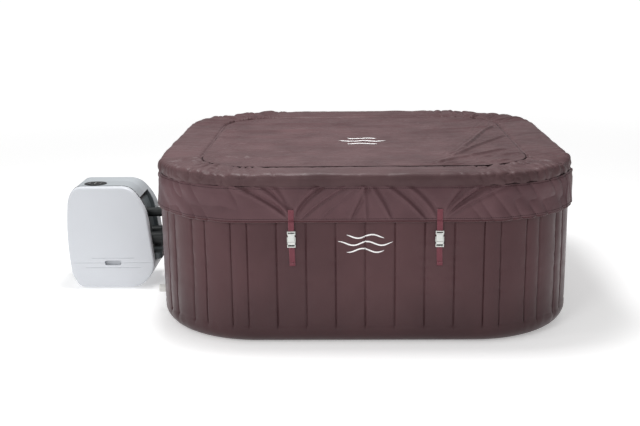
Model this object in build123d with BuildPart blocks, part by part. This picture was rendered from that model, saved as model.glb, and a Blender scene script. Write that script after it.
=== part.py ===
"""Square inflatable hot tub with its buckled cover and its control base (pump, heater and blower).

Millimetres, +Z up. The origin is the centre of the tub's base on the ground. The front faces -Y and the
control base stands on the -X side. A "half" is half of a rounded square's width, and "out" is a distance
from the tub's centre, measured square to a side.
"""

import math
import os

from build123d import *

# ---- driving dimensions: tub ----
TUB_HALF = 1005
TUB_HEIGHT = 800
CORNER = 505
WALL = 270
SKIN = 2
RIM_ROUND = 100
FOOT_ROUND = 80
RIB_LOW = 90
RIB_HIGH = TUB_HEIGHT - RIM_ROUND - 10
RIB_DEPTH = 9
WIDE_RIB = 135
SIDE_RIBS = 4
WEB = 0.8
GAP = 0.4

INNER_HALF = TUB_HALF - WALL
STRAIGHT = TUB_HALF - CORNER
QUARTER = 2 * STRAIGHT + CORNER * math.pi / 2
NARROW_RIB = (QUARTER - (2 * SIDE_RIBS + 3) * WIDE_RIB) / 4
RIB_WIDTHS = (
    [WIDE_RIB] * SIDE_RIBS
    + [NARROW_RIB, WIDE_RIB] * 3
    + [NARROW_RIB]
    + [WIDE_RIB] * SIDE_RIBS
)
RIBS_A_QUARTER = len(RIB_WIDTHS)
RIBS = 4 * RIBS_A_QUARTER
CROWNS = [WIDE_RIB * (k + 0.5) for k in range(SIDE_RIBS)]

# ---- driving dimensions: cover ----
COVER_IN = TUB_HALF + 4
COVER_OUT = COVER_IN + 8
COVER_UNDER = TUB_HEIGHT + 3
COVER_TOP = COVER_UNDER + 14
COVER_ROUND = 112
BAND_SEAM = 753
HEM = 595
GROOVE_HALF = 797
PANEL_UNDER = TUB_HEIGHT - 3
PANEL_THICK = 6
LID_HALF = INNER_HALF - 13
LID_LOW = 712
LID_HIGH = 790
POCKET_HALF = INNER_HALF - 8
POCKET_LOW = 698

# ---- driving dimensions: straps and buckles ----
STRAP_OFFSET = 335
STRAP_WIDTH = 27
STRAP_THICK = 2
STRAP_TOP = 650
STRAP_TAIL = 384
BUCKLE_WIDTH = 39
BUCKLE_DEPTH = 12
BUCKLE_HIGH = 549
BUCKLE_SPLIT = 500
BUCKLE_LOW = 474
BUCKLE_IN = TUB_HALF + 5.5

# ---- driving dimensions: ports, as distance along Y and height ----
SUCTION_PORT = (-CROWNS[0], 270)
RETURN_PORT = (CROWNS[0], 270)
AIR_PORT = (0, 400)
WATER_PIPE = 34
AIR_PIPE = 26
PORT_FACE = TUB_HALF + 1
PORTS = [(SUCTION_PORT, WATER_PIPE), (RETURN_PORT, WATER_PIPE), (AIR_PORT, AIR_PIPE)]
UNION = TUB_HALF + 60
DRAIN_AT = (-CROWNS[3], 110)
DRAIN_PIPE = 12
VALVE_AT = (-CROWNS[1], 180)
VALVE_PIPE = 18

# ---- driving dimensions: control base ----
PUMP_LEFT = -1600
PUMP_RIGHT = -1132
PUMP_FRONT = -150
PUMP_BACK = 200
PUMP_LOW = 12
PUMP_HIGH = 571
TOP_BACK = 118
PUMP_SKIN = 3
PUMP_ROUND = 11
LOWER_SPLIT = 150
FRONT_SPLIT = -112
SIDE_SPLIT = 112
SHOULDER = 505
TOP_SPLIT = 8
CHANNEL_LEFT = -1300
CHANNEL_DEPTH = 24
PANEL_AT = (-1450, -53)
PUMP_AXIS = (-CROWNS[0], 120)
HEATER_AXIS = (110, 120)
BLOWER_AXIS = (30, 400)


def save(piece, name):
    """Labels one finished sub-part and writes its STEP file."""
    piece.part.label = name
    export_step(piece.part, f"parts/{name}.step")


def place_on_outline(quarter, length, inset):
    """A point at a length along the tub's outline from a side's middle, set in by inset, and its turn."""
    corner_length = CORNER * math.pi / 2
    reach = CORNER - inset
    if length < STRAIGHT:
        x, y, turn = length, -TUB_HALF + inset, 0.0
    elif length < STRAIGHT + corner_length:
        angle = (length - STRAIGHT) / CORNER
        x = STRAIGHT + reach * math.sin(angle)
        y = -STRAIGHT - reach * math.cos(angle)
        turn = math.degrees(angle)
    else:
        x, y, turn = TUB_HALF - inset, length - 2 * STRAIGHT - corner_length, 90.0
    spin = math.radians(90 * quarter)
    across = x * math.cos(spin) - y * math.sin(spin)
    along = x * math.sin(spin) + y * math.cos(spin)
    return (across, along), turn + 90 * quarter


def seam_place(seam, inset, share=0.0):
    """A point on a rib seam of the wall, or a share of the way over to the next seam."""
    quarter, step = divmod(seam % RIBS, RIBS_A_QUARTER)
    length = sum(RIB_WIDTHS[:step]) + share * RIB_WIDTHS[step]
    return place_on_outline(quarter, length, inset)


def ribbed_outline(inset):
    """One arc for each rib, from seam to seam over the rib's crown."""
    with BuildLine() as line:
        for seam in range(RIBS):
            start, _ = seam_place(seam, inset + RIB_DEPTH)
            crown, _ = seam_place(seam, inset, 0.5)
            end, _ = seam_place(seam + 1, inset + RIB_DEPTH)
            ThreePointArc(start, crown, end)
    return line.line


def ring(outer, inner, low, high, top_round=0, foot_round=0, both=False):
    """A rounded square ring, with its outer top and foot edges rounded, and its inner top edge if both."""
    with BuildPart() as body:
        with BuildSketch(Plane.XY.offset(low)):
            RectangleRounded(2 * outer, 2 * outer, outer - STRAIGHT)
            RectangleRounded(2 * inner, 2 * inner, inner - STRAIGHT, mode=Mode.SUBTRACT)
        extrude(amount=high - low)
        if top_round:
            top = body.faces().sort_by(Axis.Z)[-1]
            chosen = top.edges() if both else top.outer_wire().edges()
            fillet(chosen, radius=top_round)
        if foot_round:
            foot = body.faces().sort_by(Axis.Z)[0]
            fillet(foot.outer_wire().edges(), radius=foot_round)
    return body.part


def slab(half, low, high, edge_round=0):
    """A rounded square slab, with its top and bottom edges rounded."""
    with BuildPart() as body:
        with BuildSketch(Plane.XY.offset(low)):
            RectangleRounded(2 * half, 2 * half, half - STRAIGHT)
        extrude(amount=high - low)
        if edge_round:
            ends = body.faces().filter_by(Axis.Z).edges()
            fillet(ends, radius=edge_round)
    return body.part


def across(distance, port):
    """A plane square to X, at a distance from the centre, centred on a port, with its normal towards -X."""
    y, z = port
    return Plane(origin=(-distance, y, z), x_dir=(0, 1, 0), z_dir=(-1, 0, 0))


def pipe(distance, port, radius, length, bore=0.0):
    """A straight round pipe from a distance on the -X side, running outwards over its length."""
    with BuildPart() as body:
        with BuildSketch(across(distance, port)):
            Circle(radius)
            if bore:
                Circle(bore, mode=Mode.SUBTRACT)
        extrude(amount=length)
    return body.part


def bent_pipe(points, bend, radius, bore):
    """A round pipe along straight runs joined by arcs."""
    with BuildPart() as body:
        with BuildLine() as route:
            FilletPolyline(*points, radius=bend)
        with BuildSketch(Plane(origin=route.line @ 0, z_dir=route.line % 0)):
            Circle(radius)
            Circle(bore, mode=Mode.SUBTRACT)
        sweep()
    return body.part


def casing(inset, edge_round=0):
    """The control base's body: its front outline run back and cut to its side outline, all set in."""
    slant = 0.65 * inset
    with BuildPart() as body:
        with BuildSketch(Plane.XZ.offset(-PUMP_FRONT - inset)):
            with BuildLine():
                foot_left = (PUMP_LEFT + 80, PUMP_LOW + inset)
                foot_right = (PUMP_RIGHT - 130, PUMP_LOW + inset)
                left_low = (PUMP_LEFT + 10 + inset, 110)
                left_middle = (PUMP_LEFT + inset, 290)
                left_high = (PUMP_LEFT + 10 + inset, 462)
                top_left = (PUMP_LEFT + 88, PUMP_HIGH - inset)
                top_right = (PUMP_RIGHT - 168, PUMP_HIGH - inset)
                right_high = (PUMP_RIGHT - 28 - inset, 400)
                right_low = (PUMP_RIGHT - inset, LOWER_SPLIT)
                foot_bend = (PUMP_RIGHT - 36 - inset, 60)
                shoulder_bend = (PUMP_RIGHT - 74 - slant, 512 - slant)
                left_bend = (PUMP_LEFT + 28 + slant, 532 - slant)
                toe_bend = (PUMP_LEFT + 34 + slant, 44 + slant)
                Line(foot_left, foot_right)
                Spline(foot_right, foot_bend, right_low, tangents=((1, 0), (-0.02, 1)))
                Line(right_low, right_high)
                Spline(right_high, shoulder_bend, top_right, tangents=((-0.11, 1), (-1, 0)))
                Line(top_right, top_left)
                Spline(top_left, left_bend, left_high, tangents=((-1, 0), (-0.08, -1)))
                ThreePointArc(left_high, left_middle, left_low)
                Spline(left_low, toe_bend, foot_left, tangents=((0.08, -1), (1, 0)))
            make_face()
        extrude(amount=-(PUMP_BACK - PUMP_FRONT - 2 * inset))
        with BuildSketch(Plane.YZ.offset(PUMP_LEFT - 50)):
            with BuildLine():
                before = PUMP_FRONT - 50
                behind = PUMP_BACK - inset
                above = PUMP_HIGH + 60
                crest = (TOP_BACK - slant, PUMP_HIGH + 7 - inset)
                Polyline((before, -10), (behind, -10), (behind, 330))
                Spline((behind, 330), (behind - 22, 480), crest, tangents=((0, 1), (-0.8, 0.6)))
                Polyline(crest, (crest[0], above), (before, above), (before, -10))
            make_face()
        extrude(amount=600, mode=Mode.INTERSECT)
        if edge_round:
            front = body.faces().sort_by(Axis.Y)[0]
            fillet(front.edges(), radius=edge_round)
    return body.part


def keep_box(x_span, y_span, z_span, mode=Mode.INTERSECT):
    """Keeps (or cuts) the part inside a box given by its spans."""
    low = (x_span[0], y_span[0], z_span[0])
    size = [span[1] - span[0] for span in (x_span, y_span, z_span)]
    with Locations(low):
        Box(*size, align=(Align.MIN, Align.MIN, Align.MIN), mode=mode)


STRAP_PLACES = [
    Location((0, 0, 0), (0, 0, side * 90)) * Location((x, 0, 0))
    for side in range(4)
    for x in (-STRAP_OFFSET, STRAP_OFFSET)
]

os.makedirs("parts", exist_ok=True)

# ==== tub ====
with BuildPart() as outer_wall:
    with BuildSketch(Plane.XY.offset(RIB_LOW)):
        add(ribbed_outline(0))
        make_face()
        with BuildSketch(mode=Mode.SUBTRACT):
            add(ribbed_outline(SKIN))
            make_face()
    extrude(amount=RIB_HIGH - RIB_LOW)
    for port, radius in PORTS + [(DRAIN_AT, DRAIN_PIPE), (VALVE_AT, VALVE_PIPE)]:
        add(pipe(TUB_HALF - 40, port, radius + 1, 60), mode=Mode.SUBTRACT)
save(outer_wall, "outer_wall")

with BuildPart() as inner_wall:
    add(ring(INNER_HALF + SKIN, INNER_HALF, RIB_LOW, RIB_HIGH))
    for port, radius in PORTS + [(DRAIN_AT, DRAIN_PIPE)]:
        add(pipe(INNER_HALF - 20, port, radius + 1, 40), mode=Mode.SUBTRACT)
save(inner_wall, "inner_wall")

with BuildPart() as top_rim:
    add(ring(TUB_HALF, INNER_HALF, RIB_HIGH, TUB_HEIGHT, top_round=RIM_ROUND, both=True))
    hollow = ring(
        TUB_HALF - SKIN,
        INNER_HALF + SKIN,
        RIB_HIGH - 1,
        TUB_HEIGHT - SKIN,
        top_round=RIM_ROUND - SKIN,
        both=True,
    )
    add(hollow, mode=Mode.SUBTRACT)
save(top_rim, "top_rim")

with BuildPart() as bottom_rim:
    add(ring(TUB_HALF, INNER_HALF, 0, RIB_LOW, foot_round=FOOT_ROUND))
    hollow = ring(
        TUB_HALF - SKIN,
        INNER_HALF + SKIN,
        SKIN,
        RIB_LOW + 1,
        foot_round=FOOT_ROUND - SKIN,
    )
    add(hollow, mode=Mode.SUBTRACT)
save(bottom_rim, "bottom_rim")

WEB_OUT = RIB_DEPTH + SKIN + 2
WEB_LENGTH = WALL - WEB_OUT - SKIN - 2
AIR_PORT_SEAM = 3 * RIBS_A_QUARTER
with BuildPart() as wall_webs:
    with BuildSketch(Plane.XY.offset(RIB_LOW + 5)):
        for seam in range(RIBS):
            if seam == AIR_PORT_SEAM:
                continue
            middle, turn = seam_place(seam, WEB_OUT + WEB_LENGTH / 2)
            with Locations(Location((*middle, 0), (0, 0, turn))):
                Rectangle(WEB, WEB_LENGTH)
    extrude(amount=RIB_HIGH - RIB_LOW - 10)
save(wall_webs, "wall_webs")

with BuildPart() as floor_sheet:
    add(slab(INNER_HALF - GAP, 0, SKIN))
save(floor_sheet, "floor_sheet")

# ==== bubble duct: a ring tube on the tub's floor, fed by a riser from the air port ====
DUCT_OUT = INNER_HALF - 5
DUCT_IN = DUCT_OUT - 80
DUCT_LOW = SKIN + GAP
DUCT_HIGH = 56
DUCT_SKIN = 2.5
RISER_OUT = INNER_HALF - 24
RISER = 14
HOLE_PITCH = 120
with BuildPart() as bubble_duct:
    add(ring(DUCT_OUT, DUCT_IN, DUCT_LOW, DUCT_HIGH))
    with BuildSketch(Plane.XY.offset(DUCT_HIGH - 1)):
        with Locations((-RISER_OUT, 0)):
            Circle(RISER)
    extrude(amount=AIR_PORT[1] + RISER - DUCT_HIGH)
    tunnel = ring(
        DUCT_OUT - DUCT_SKIN,
        DUCT_IN + DUCT_SKIN,
        DUCT_LOW + DUCT_SKIN,
        DUCT_HIGH - DUCT_SKIN,
    )
    add(tunnel, mode=Mode.SUBTRACT)
    with BuildSketch(Plane.XY.offset(DUCT_HIGH - 10)):
        with Locations((-RISER_OUT, 0)):
            Circle(RISER - DUCT_SKIN)
    extrude(amount=AIR_PORT[1] - DUCT_HIGH + 15, mode=Mode.SUBTRACT)
    add(pipe(RISER_OUT + 2, AIR_PORT, RISER - 4, 30), mode=Mode.SUBTRACT)
    for side in range(4):
        with BuildSketch(Plane.XY.offset(DUCT_HIGH - 8).rotated((0, 0, side * 90))):
            with Locations((0, DUCT_IN + 40)):
                with GridLocations(HOLE_PITCH, 1, 7, 1):
                    Circle(3)
        extrude(amount=20, mode=Mode.SUBTRACT)
save(bubble_duct, "bubble_duct")

# ==== fittings that carry water and air through the tub's wall ====
FITTING_BORE = 4
FLANGE = 12
with BuildPart() as wall_port_fittings:
    for port, radius in PORTS:
        start = INNER_HALF - 4 if port != AIR_PORT else INNER_HALF - 8
        add(pipe(start, port, radius, UNION - start))
        add(pipe(PORT_FACE, port, radius + FLANGE, 5))
        add(pipe(UNION - 8, port, radius + 5, 5))
    for port, radius in PORTS:
        add(pipe(INNER_HALF - 12, port, radius - FITTING_BORE, 360), mode=Mode.SUBTRACT)
save(wall_port_fittings, "wall_port_fittings")

HOUSING_RADIUS = 49
HOUSING_OUT = INNER_HALF - 5
HOUSING_LENGTH = 118
CAP_OUT = HOUSING_OUT - HOUSING_LENGTH
FILTER_SLOTS = 8
with BuildPart() as filter_housing:
    add(pipe(CAP_OUT, SUCTION_PORT, HOUSING_RADIUS, HOUSING_LENGTH))
    add(pipe(CAP_OUT - 1, SUCTION_PORT, HOUSING_RADIUS - 3, HOUSING_LENGTH - 3), mode=Mode.SUBTRACT)
    add(pipe(CAP_OUT, SUCTION_PORT, WATER_PIPE - 6, HOUSING_LENGTH + 5), mode=Mode.SUBTRACT)
    with BuildSketch(across(CAP_OUT + 20, SUCTION_PORT)):
        with PolarLocations(HOUSING_RADIUS, FILTER_SLOTS):
            Rectangle(16, 10)
    extrude(amount=HOUSING_LENGTH - 45, mode=Mode.SUBTRACT)
save(filter_housing, "filter_housing")

PLEATS = 24
CARTRIDGE_RADIUS = 40
with BuildPart() as filter_cartridge:
    with BuildSketch(across(CAP_OUT + 6, SUCTION_PORT)):
        Circle(CARTRIDGE_RADIUS - 5)
        with PolarLocations(CARTRIDGE_RADIUS - 4, PLEATS):
            Rectangle(8, 3)
        Circle(22, mode=Mode.SUBTRACT)
    extrude(amount=HOUSING_LENGTH - 15)
    for end in (CAP_OUT + 4, CAP_OUT + HOUSING_LENGTH - 10):
        add(pipe(end, SUCTION_PORT, CARTRIDGE_RADIUS + 1, 4, bore=22))
save(filter_cartridge, "filter_cartridge")

with BuildPart() as filter_cap:
    add(pipe(CAP_OUT - 12, SUCTION_PORT, HOUSING_RADIUS, 11.5))
    with BuildSketch(across(CAP_OUT - 26, SUCTION_PORT)):
        SlotOverall(64, 12)
    extrude(amount=15)
    add(pipe(CAP_OUT - 1, SUCTION_PORT, HOUSING_RADIUS - 4, 4, bore=HOUSING_RADIUS - 7))
save(filter_cap, "filter_cap")

with BuildPart() as return_grille:
    add(pipe(INNER_HALF - 13, RETURN_PORT, WATER_PIPE + 2, 8))
    with BuildSketch(across(INNER_HALF - 14, RETURN_PORT)):
        with PolarLocations(20, 8):
            Rectangle(18, 7)
    extrude(amount=12, mode=Mode.SUBTRACT)
save(return_grille, "return_grille")

# ==== drain valve: body through the wall, screw cap, and the seal inside the cap ====
DRAIN_END = TUB_HALF + 32
with BuildPart() as drain_valve_body:
    add(pipe(INNER_HALF - 3, DRAIN_AT, DRAIN_PIPE, DRAIN_END - INNER_HALF + 3))
    add(pipe(PORT_FACE, DRAIN_AT, 22, 4))
    add(pipe(INNER_HALF - 5, DRAIN_AT, 20, 4.5))
    add(pipe(INNER_HALF - 8, DRAIN_AT, DRAIN_PIPE - 3, 400), mode=Mode.SUBTRACT)
save(drain_valve_body, "drain_valve_body")

with BuildPart() as drain_seal:
    add(pipe(DRAIN_END + GAP, DRAIN_AT, DRAIN_PIPE + 1, 3, bore=DRAIN_PIPE - 5))
save(drain_seal, "drain_seal")

CAP_GRIPS = 18
with BuildPart() as drain_cap:
    with BuildSketch(across(PORT_FACE + 6, DRAIN_AT)):
        Circle(20)
        with PolarLocations(20.5, CAP_GRIPS):
            Circle(1.2, mode=Mode.SUBTRACT)
        Circle(DRAIN_PIPE + 2, mode=Mode.SUBTRACT)
    extrude(amount=DRAIN_END - PORT_FACE + 2)
    add(pipe(DRAIN_END + 4, DRAIN_AT, 19, 8))
    end = drain_cap.faces().sort_by(Axis.X)[0]
    fillet(end.edges(), radius=3)
save(drain_cap, "drain_cap")

# ==== air valve that the tub is inflated through ====
with BuildPart() as inflation_valve_body:
    add(pipe(TUB_HALF - 24, VALVE_AT, VALVE_PIPE, 36))
    add(pipe(PORT_FACE, VALVE_AT, 28, 4))
    add(pipe(TUB_HALF - 26, VALVE_AT, VALVE_PIPE - 3, 50), mode=Mode.SUBTRACT)
save(inflation_valve_body, "inflation_valve_body")

with BuildPart() as inflation_valve_cap:
    with BuildSketch(across(TUB_HALF + 12.5, VALVE_AT)):
        Circle(24)
        with PolarLocations(24.5, CAP_GRIPS):
            Circle(1.6, mode=Mode.SUBTRACT)
    extrude(amount=11)
    rim = inflation_valve_cap.faces().sort_by(Axis.X)[0]
    fillet(rim.edges(), radius=2)
save(inflation_valve_cap, "inflation_valve_cap")

# ==== cover ====
cover_shell = ring(COVER_OUT, GROOVE_HALF, HEM, COVER_TOP, top_round=COVER_ROUND)
cover_space = ring(
    COVER_IN,
    GROOVE_HALF - 10,
    HEM - 1,
    COVER_UNDER,
    top_round=COVER_ROUND - 8,
)
WIDE = 2 * COVER_OUT
with BuildPart() as cover_skirt:
    add(cover_shell)
    add(cover_space, mode=Mode.SUBTRACT)
    keep_box((-WIDE, WIDE), (-WIDE, WIDE), (HEM, BAND_SEAM))
save(cover_skirt, "cover_skirt")

with BuildPart() as cover_band:
    add(cover_shell)
    add(cover_space, mode=Mode.SUBTRACT)
    keep_box((-WIDE, WIDE), (-WIDE, WIDE), (BAND_SEAM + GAP, COVER_TOP))
    add(ring(GROOVE_HALF + 6, GROOVE_HALF, PANEL_UNDER, COVER_UNDER + 1))
save(cover_band, "cover_band")

with BuildPart() as cover_panel:
    add(slab(GROOVE_HALF - GAP, PANEL_UNDER, PANEL_UNDER + PANEL_THICK))
save(cover_panel, "cover_panel")

with BuildPart() as hem_binding:
    add(ring(COVER_OUT + 1.5, COVER_IN - 1, HEM - 8, HEM - GAP))
save(hem_binding, "hem_binding")

LID_VALVE = (560, -560)
LID_SKIN = 2
LID_ROUND = 30
with BuildPart() as inflatable_lid:
    add(slab(LID_HALF, LID_LOW, LID_HIGH, LID_ROUND))
    air = slab(LID_HALF - LID_SKIN, LID_LOW + LID_SKIN, LID_HIGH - LID_SKIN, LID_ROUND - LID_SKIN)
    add(air, mode=Mode.SUBTRACT)
    with Locations((*LID_VALVE, LID_LOW)):
        Cylinder(13, 10, mode=Mode.SUBTRACT)
save(inflatable_lid, "inflatable_lid")

with BuildPart() as lid_valve_body:
    with BuildSketch(Plane.XY.offset(LID_LOW - 3)):
        with Locations(LID_VALVE):
            Circle(20)
    extrude(amount=2.5)
    with BuildSketch(Plane.XY.offset(LID_LOW - 1)):
        with Locations(LID_VALVE):
            Circle(12)
    extrude(amount=22)
    with Locations((*LID_VALVE, LID_LOW)):
        Cylinder(9, 80, mode=Mode.SUBTRACT)
save(lid_valve_body, "lid_valve_body")

with BuildPart() as lid_valve_cap:
    with BuildSketch(Plane.XY.offset(POCKET_LOW + 4)):
        with Locations(LID_VALVE):
            Circle(16)
            with PolarLocations(16, CAP_GRIPS):
                Circle(1, mode=Mode.SUBTRACT)
    extrude(amount=LID_LOW - POCKET_LOW - 8)
save(lid_valve_cap, "lid_valve_cap")

with BuildPart() as lid_pocket:
    add(slab(POCKET_HALF, POCKET_LOW, POCKET_LOW + SKIN))
    add(ring(POCKET_HALF, POCKET_HALF - SKIN, POCKET_LOW, PANEL_UNDER - GAP))
save(lid_pocket, "lid_pocket")

ZIP_LENGTH = 1240
ZIP_Y = -560
with BuildPart() as zipper_tape:
    with BuildSketch(Plane.XY.offset(POCKET_LOW - 2.4)):
        with Locations((0, ZIP_Y)):
            Rectangle(ZIP_LENGTH, 32)
    extrude(amount=2)
save(zipper_tape, "zipper_tape")

with BuildPart() as zipper_slider:
    with BuildSketch(Plane.XY.offset(POCKET_LOW - 9)):
        with Locations((30 - ZIP_LENGTH / 2, ZIP_Y)):
            SlotOverall(18, 11)
    extrude(amount=6)
    with BuildSketch(Plane.XY.offset(POCKET_LOW - 12)):
        with Locations((42 - ZIP_LENGTH / 2, ZIP_Y)):
            RectangleRounded(34, 9, 4)
    extrude(amount=3.2)
save(zipper_slider, "zipper_slider")

# ==== straps and buckles: one made at the front's middle line, then set in eight places ====
UPPER_STRAP_OUT = COVER_OUT + 1.9
STRAP_END = BUCKLE_HIGH - 5
with BuildPart() as upper_straps:
    with Locations(*STRAP_PLACES):
        with Locations((0, -UPPER_STRAP_OUT - STRAP_THICK / 2, (STRAP_TOP + STRAP_END) / 2)):
            Box(STRAP_WIDTH, STRAP_THICK, STRAP_TOP - STRAP_END)
save(upper_straps, "upper_straps")

with BuildPart() as lower_straps:
    high = BUCKLE_SPLIT - 4
    with Locations(*STRAP_PLACES):
        with Locations((0, -TUB_HALF - 2.5, (STRAP_TAIL + high) / 2)):
            Box(STRAP_WIDTH, STRAP_THICK, high - STRAP_TAIL)
save(lower_straps, "lower_straps")

BUCKLE_MIDDLE = -(BUCKLE_IN + BUCKLE_DEPTH / 2)
with BuildPart() as one_female_buckle:
    with BuildSketch(Plane.XY.offset(BUCKLE_SPLIT + GAP)):
        with Locations((0, BUCKLE_MIDDLE)):
            RectangleRounded(BUCKLE_WIDTH, BUCKLE_DEPTH, 3.5)
    extrude(amount=BUCKLE_HIGH - BUCKLE_SPLIT - GAP)
    with Locations((0, BUCKLE_MIDDLE, BUCKLE_SPLIT + 17)):
        Box(BUCKLE_WIDTH - 6, BUCKLE_DEPTH - 4, 40, mode=Mode.SUBTRACT)
    for side in (-1, 1):
        with Locations((side * BUCKLE_WIDTH / 2, BUCKLE_MIDDLE, BUCKLE_SPLIT + 19)):
            Box(14, BUCKLE_DEPTH - 5, 15, mode=Mode.SUBTRACT)
    with Locations((0, BUCKLE_MIDDLE - 4.5, BUCKLE_HIGH)):
        Box(STRAP_WIDTH + 1.5, 6, 15, mode=Mode.SUBTRACT)
with BuildPart() as female_buckles:
    with Locations(*STRAP_PLACES):
        add(one_female_buckle.part)
save(female_buckles, "female_buckles")

with BuildPart() as one_male_buckle:
    with BuildSketch(Plane.XY.offset(BUCKLE_LOW)):
        with Locations((0, BUCKLE_MIDDLE)):
            RectangleRounded(BUCKLE_WIDTH, BUCKLE_DEPTH, 3.5)
    extrude(amount=BUCKLE_SPLIT - BUCKLE_LOW - GAP)
    with Locations((0, BUCKLE_MIDDLE, BUCKLE_LOW + 11)):
        Box(STRAP_WIDTH + 1.5, BUCKLE_DEPTH + 2, 5, mode=Mode.SUBTRACT)
    for x, width, reach in ((-12.5, 5, 32), (0, 6, 26), (12.5, 5, 32)):
        with Locations((x, BUCKLE_MIDDLE, BUCKLE_SPLIT - 2)):
            Box(width, 5, reach, align=(Align.CENTER, Align.CENTER, Align.MIN))
with BuildPart() as male_buckles:
    with Locations(*STRAP_PLACES):
        add(one_male_buckle.part)
save(male_buckles, "male_buckles")

# ==== control base: casing ====
casing_solid = casing(0, PUMP_ROUND)
casing_hollow = casing(PUMP_SKIN, PUMP_ROUND - PUMP_SKIN)
with BuildPart() as casing_shell:
    add(casing_solid)
    add(casing_hollow, mode=Mode.SUBTRACT)
BASE = (-1700, -1000)
DEPTH_SPAN = (-300, 300)
GRIP_X = -1358
GRIP_Z = LOWER_SPLIT
GRIP_WIDTH = 90
GRIP_HEIGHT = 26


def grip_block(front, grow, length):
    """A rounded block through the hand grip's slot, from a place on Y, grown by a margin all round."""
    with BuildPart() as block:
        with BuildSketch(Plane(origin=(GRIP_X, front, GRIP_Z), x_dir=(1, 0, 0), z_dir=(0, 1, 0))):
            RectangleRounded(GRIP_WIDTH + 2 * grow, GRIP_HEIGHT + 2 * grow, 10 + grow)
        extrude(amount=length)
    return block.part


FOOT_X = (-1500, -1250)
FOOT_Y = (-60, 110)
FOOT_PLACES = [(x, y) for x in FOOT_X for y in FOOT_Y]
SCREW_PLACES = [(x, y + 34) for x, y in FOOT_PLACES]
GLAND_AT = (-1480, 84)
CREASE = 2
with BuildPart() as pump_lower_shell:
    add(casing_shell.part)
    keep_box(BASE, DEPTH_SPAN, (0, LOWER_SPLIT - GAP))
    add(grip_block(-170, 0, 60), mode=Mode.SUBTRACT)
    with BuildSketch(Plane.XY):
        with Locations(*SCREW_PLACES):
            Circle(2.6)
    extrude(amount=30, mode=Mode.SUBTRACT)
    gland_x, gland_z = GLAND_AT
    with BuildSketch(Plane(origin=(gland_x, 150, gland_z), x_dir=(-1, 0, 0), z_dir=(0, 1, 0))):
        Circle(9)
    extrude(amount=80, mode=Mode.SUBTRACT)
    with Locations((GRIP_X, PUMP_FRONT, LOWER_SPLIT - 27)):
        Box(300, 2 * CREASE, CREASE, mode=Mode.SUBTRACT)
save(pump_lower_shell, "pump_lower_shell")

with BuildPart() as pump_front_shell:
    add(casing_shell.part)
    keep_box(BASE, (-300, FRONT_SPLIT - GAP), (LOWER_SPLIT + GAP, PUMP_HIGH))
    add(grip_block(-170, 0, 60), mode=Mode.SUBTRACT)
    with Locations((GRIP_X, PUMP_FRONT, LOWER_SPLIT + 27)):
        Box(230, 2 * CREASE, CREASE, mode=Mode.SUBTRACT)
save(pump_front_shell, "pump_front_shell")

CHANNEL_X = (CHANNEL_LEFT, -1000)
CHANNEL_Y = (FRONT_SPLIT, SIDE_SPLIT)
with BuildPart() as pump_rear_shell:
    add(casing_shell.part)
    keep_box(BASE, (FRONT_SPLIT + GAP, 300), (LOWER_SPLIT + GAP, PUMP_HIGH + 20))
    keep_box(CHANNEL_X, CHANNEL_Y, (0, SHOULDER), mode=Mode.SUBTRACT)
    keep_box(BASE, (-300, TOP_SPLIT + GAP), (SHOULDER - GAP, PUMP_HIGH + 20), mode=Mode.SUBTRACT)
save(pump_rear_shell, "pump_rear_shell")

# The side panel is a tray set into the casing's right side, with a ledge under the couplings.
TRAY = 3.4
channel_floor = casing(CHANNEL_DEPTH)
tray_back = casing(CHANNEL_DEPTH + TRAY)
tray_front = casing(TRAY)
with BuildPart() as channel_space:
    add(casing_solid)
    add(channel_floor, mode=Mode.SUBTRACT)
    keep_box(CHANNEL_X, (FRONT_SPLIT + TRAY, SIDE_SPLIT - TRAY), (LOWER_SPLIT + TRAY, SHOULDER - TRAY))
with BuildPart() as pump_side_panel:
    add(tray_front)
    add(tray_back, mode=Mode.SUBTRACT)
    keep_box(CHANNEL_X, (FRONT_SPLIT + GAP, SIDE_SPLIT - GAP), (LOWER_SPLIT + GAP, SHOULDER - GAP))
    add(channel_space.part, mode=Mode.SUBTRACT)
    with BuildSketch(Plane.XY.offset(LOWER_SPLIT + 6)):
        with Locations((PUMP_RIGHT - 8, 0)):
            RectangleRounded(76, 190, 26)
    extrude(amount=34)
    for port, radius in PORTS:
        add(pipe(1090, port, radius + 1, 150), mode=Mode.SUBTRACT)
save(pump_side_panel, "pump_side_panel")

PANEL_WIDTH = 122
PANEL_DEPTH = 100


def key_places():
    """Six keys in two rows across the control panel."""
    x, y = PANEL_AT
    return [(x + 30 * column, y + 22 * row - 18) for row in (0, 1) for column in (-1, 0, 1)]


with BuildPart() as pump_top_cover:
    add(casing_shell.part)
    keep_box(BASE, (FRONT_SPLIT + GAP, TOP_SPLIT - GAP), (SHOULDER + GAP, PUMP_HIGH + 20))
    with BuildSketch(Plane.XY.offset(PUMP_HIGH - 20)):
        with Locations(PANEL_AT):
            Ellipse(PANEL_WIDTH / 2 - 8, PANEL_DEPTH / 2 - 8)
    extrude(amount=40, mode=Mode.SUBTRACT)
save(pump_top_cover, "pump_top_cover")

with BuildPart() as control_panel:
    with BuildSketch(Plane.XY.offset(PUMP_HIGH + 0.2)):
        with Locations(PANEL_AT):
            Ellipse(PANEL_WIDTH / 2, PANEL_DEPTH / 2)
    extrude(amount=2.2)
    with BuildSketch(Plane.XY.offset(PUMP_HIGH - PUMP_SKIN)):
        with Locations(PANEL_AT):
            Ellipse(PANEL_WIDTH / 2 - 9, PANEL_DEPTH / 2 - 9)
    extrude(amount=PUMP_SKIN + 0.4)
    with BuildSketch(Plane.XY.offset(PUMP_HIGH - 10)):
        with Locations(*key_places()):
            RectangleRounded(19, 14, 4)
        with Locations((PANEL_AT[0], PANEL_AT[1] + 29)):
            RectangleRounded(46, 18, 3)
    extrude(amount=20, mode=Mode.SUBTRACT)
save(control_panel, "control_panel")

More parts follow.
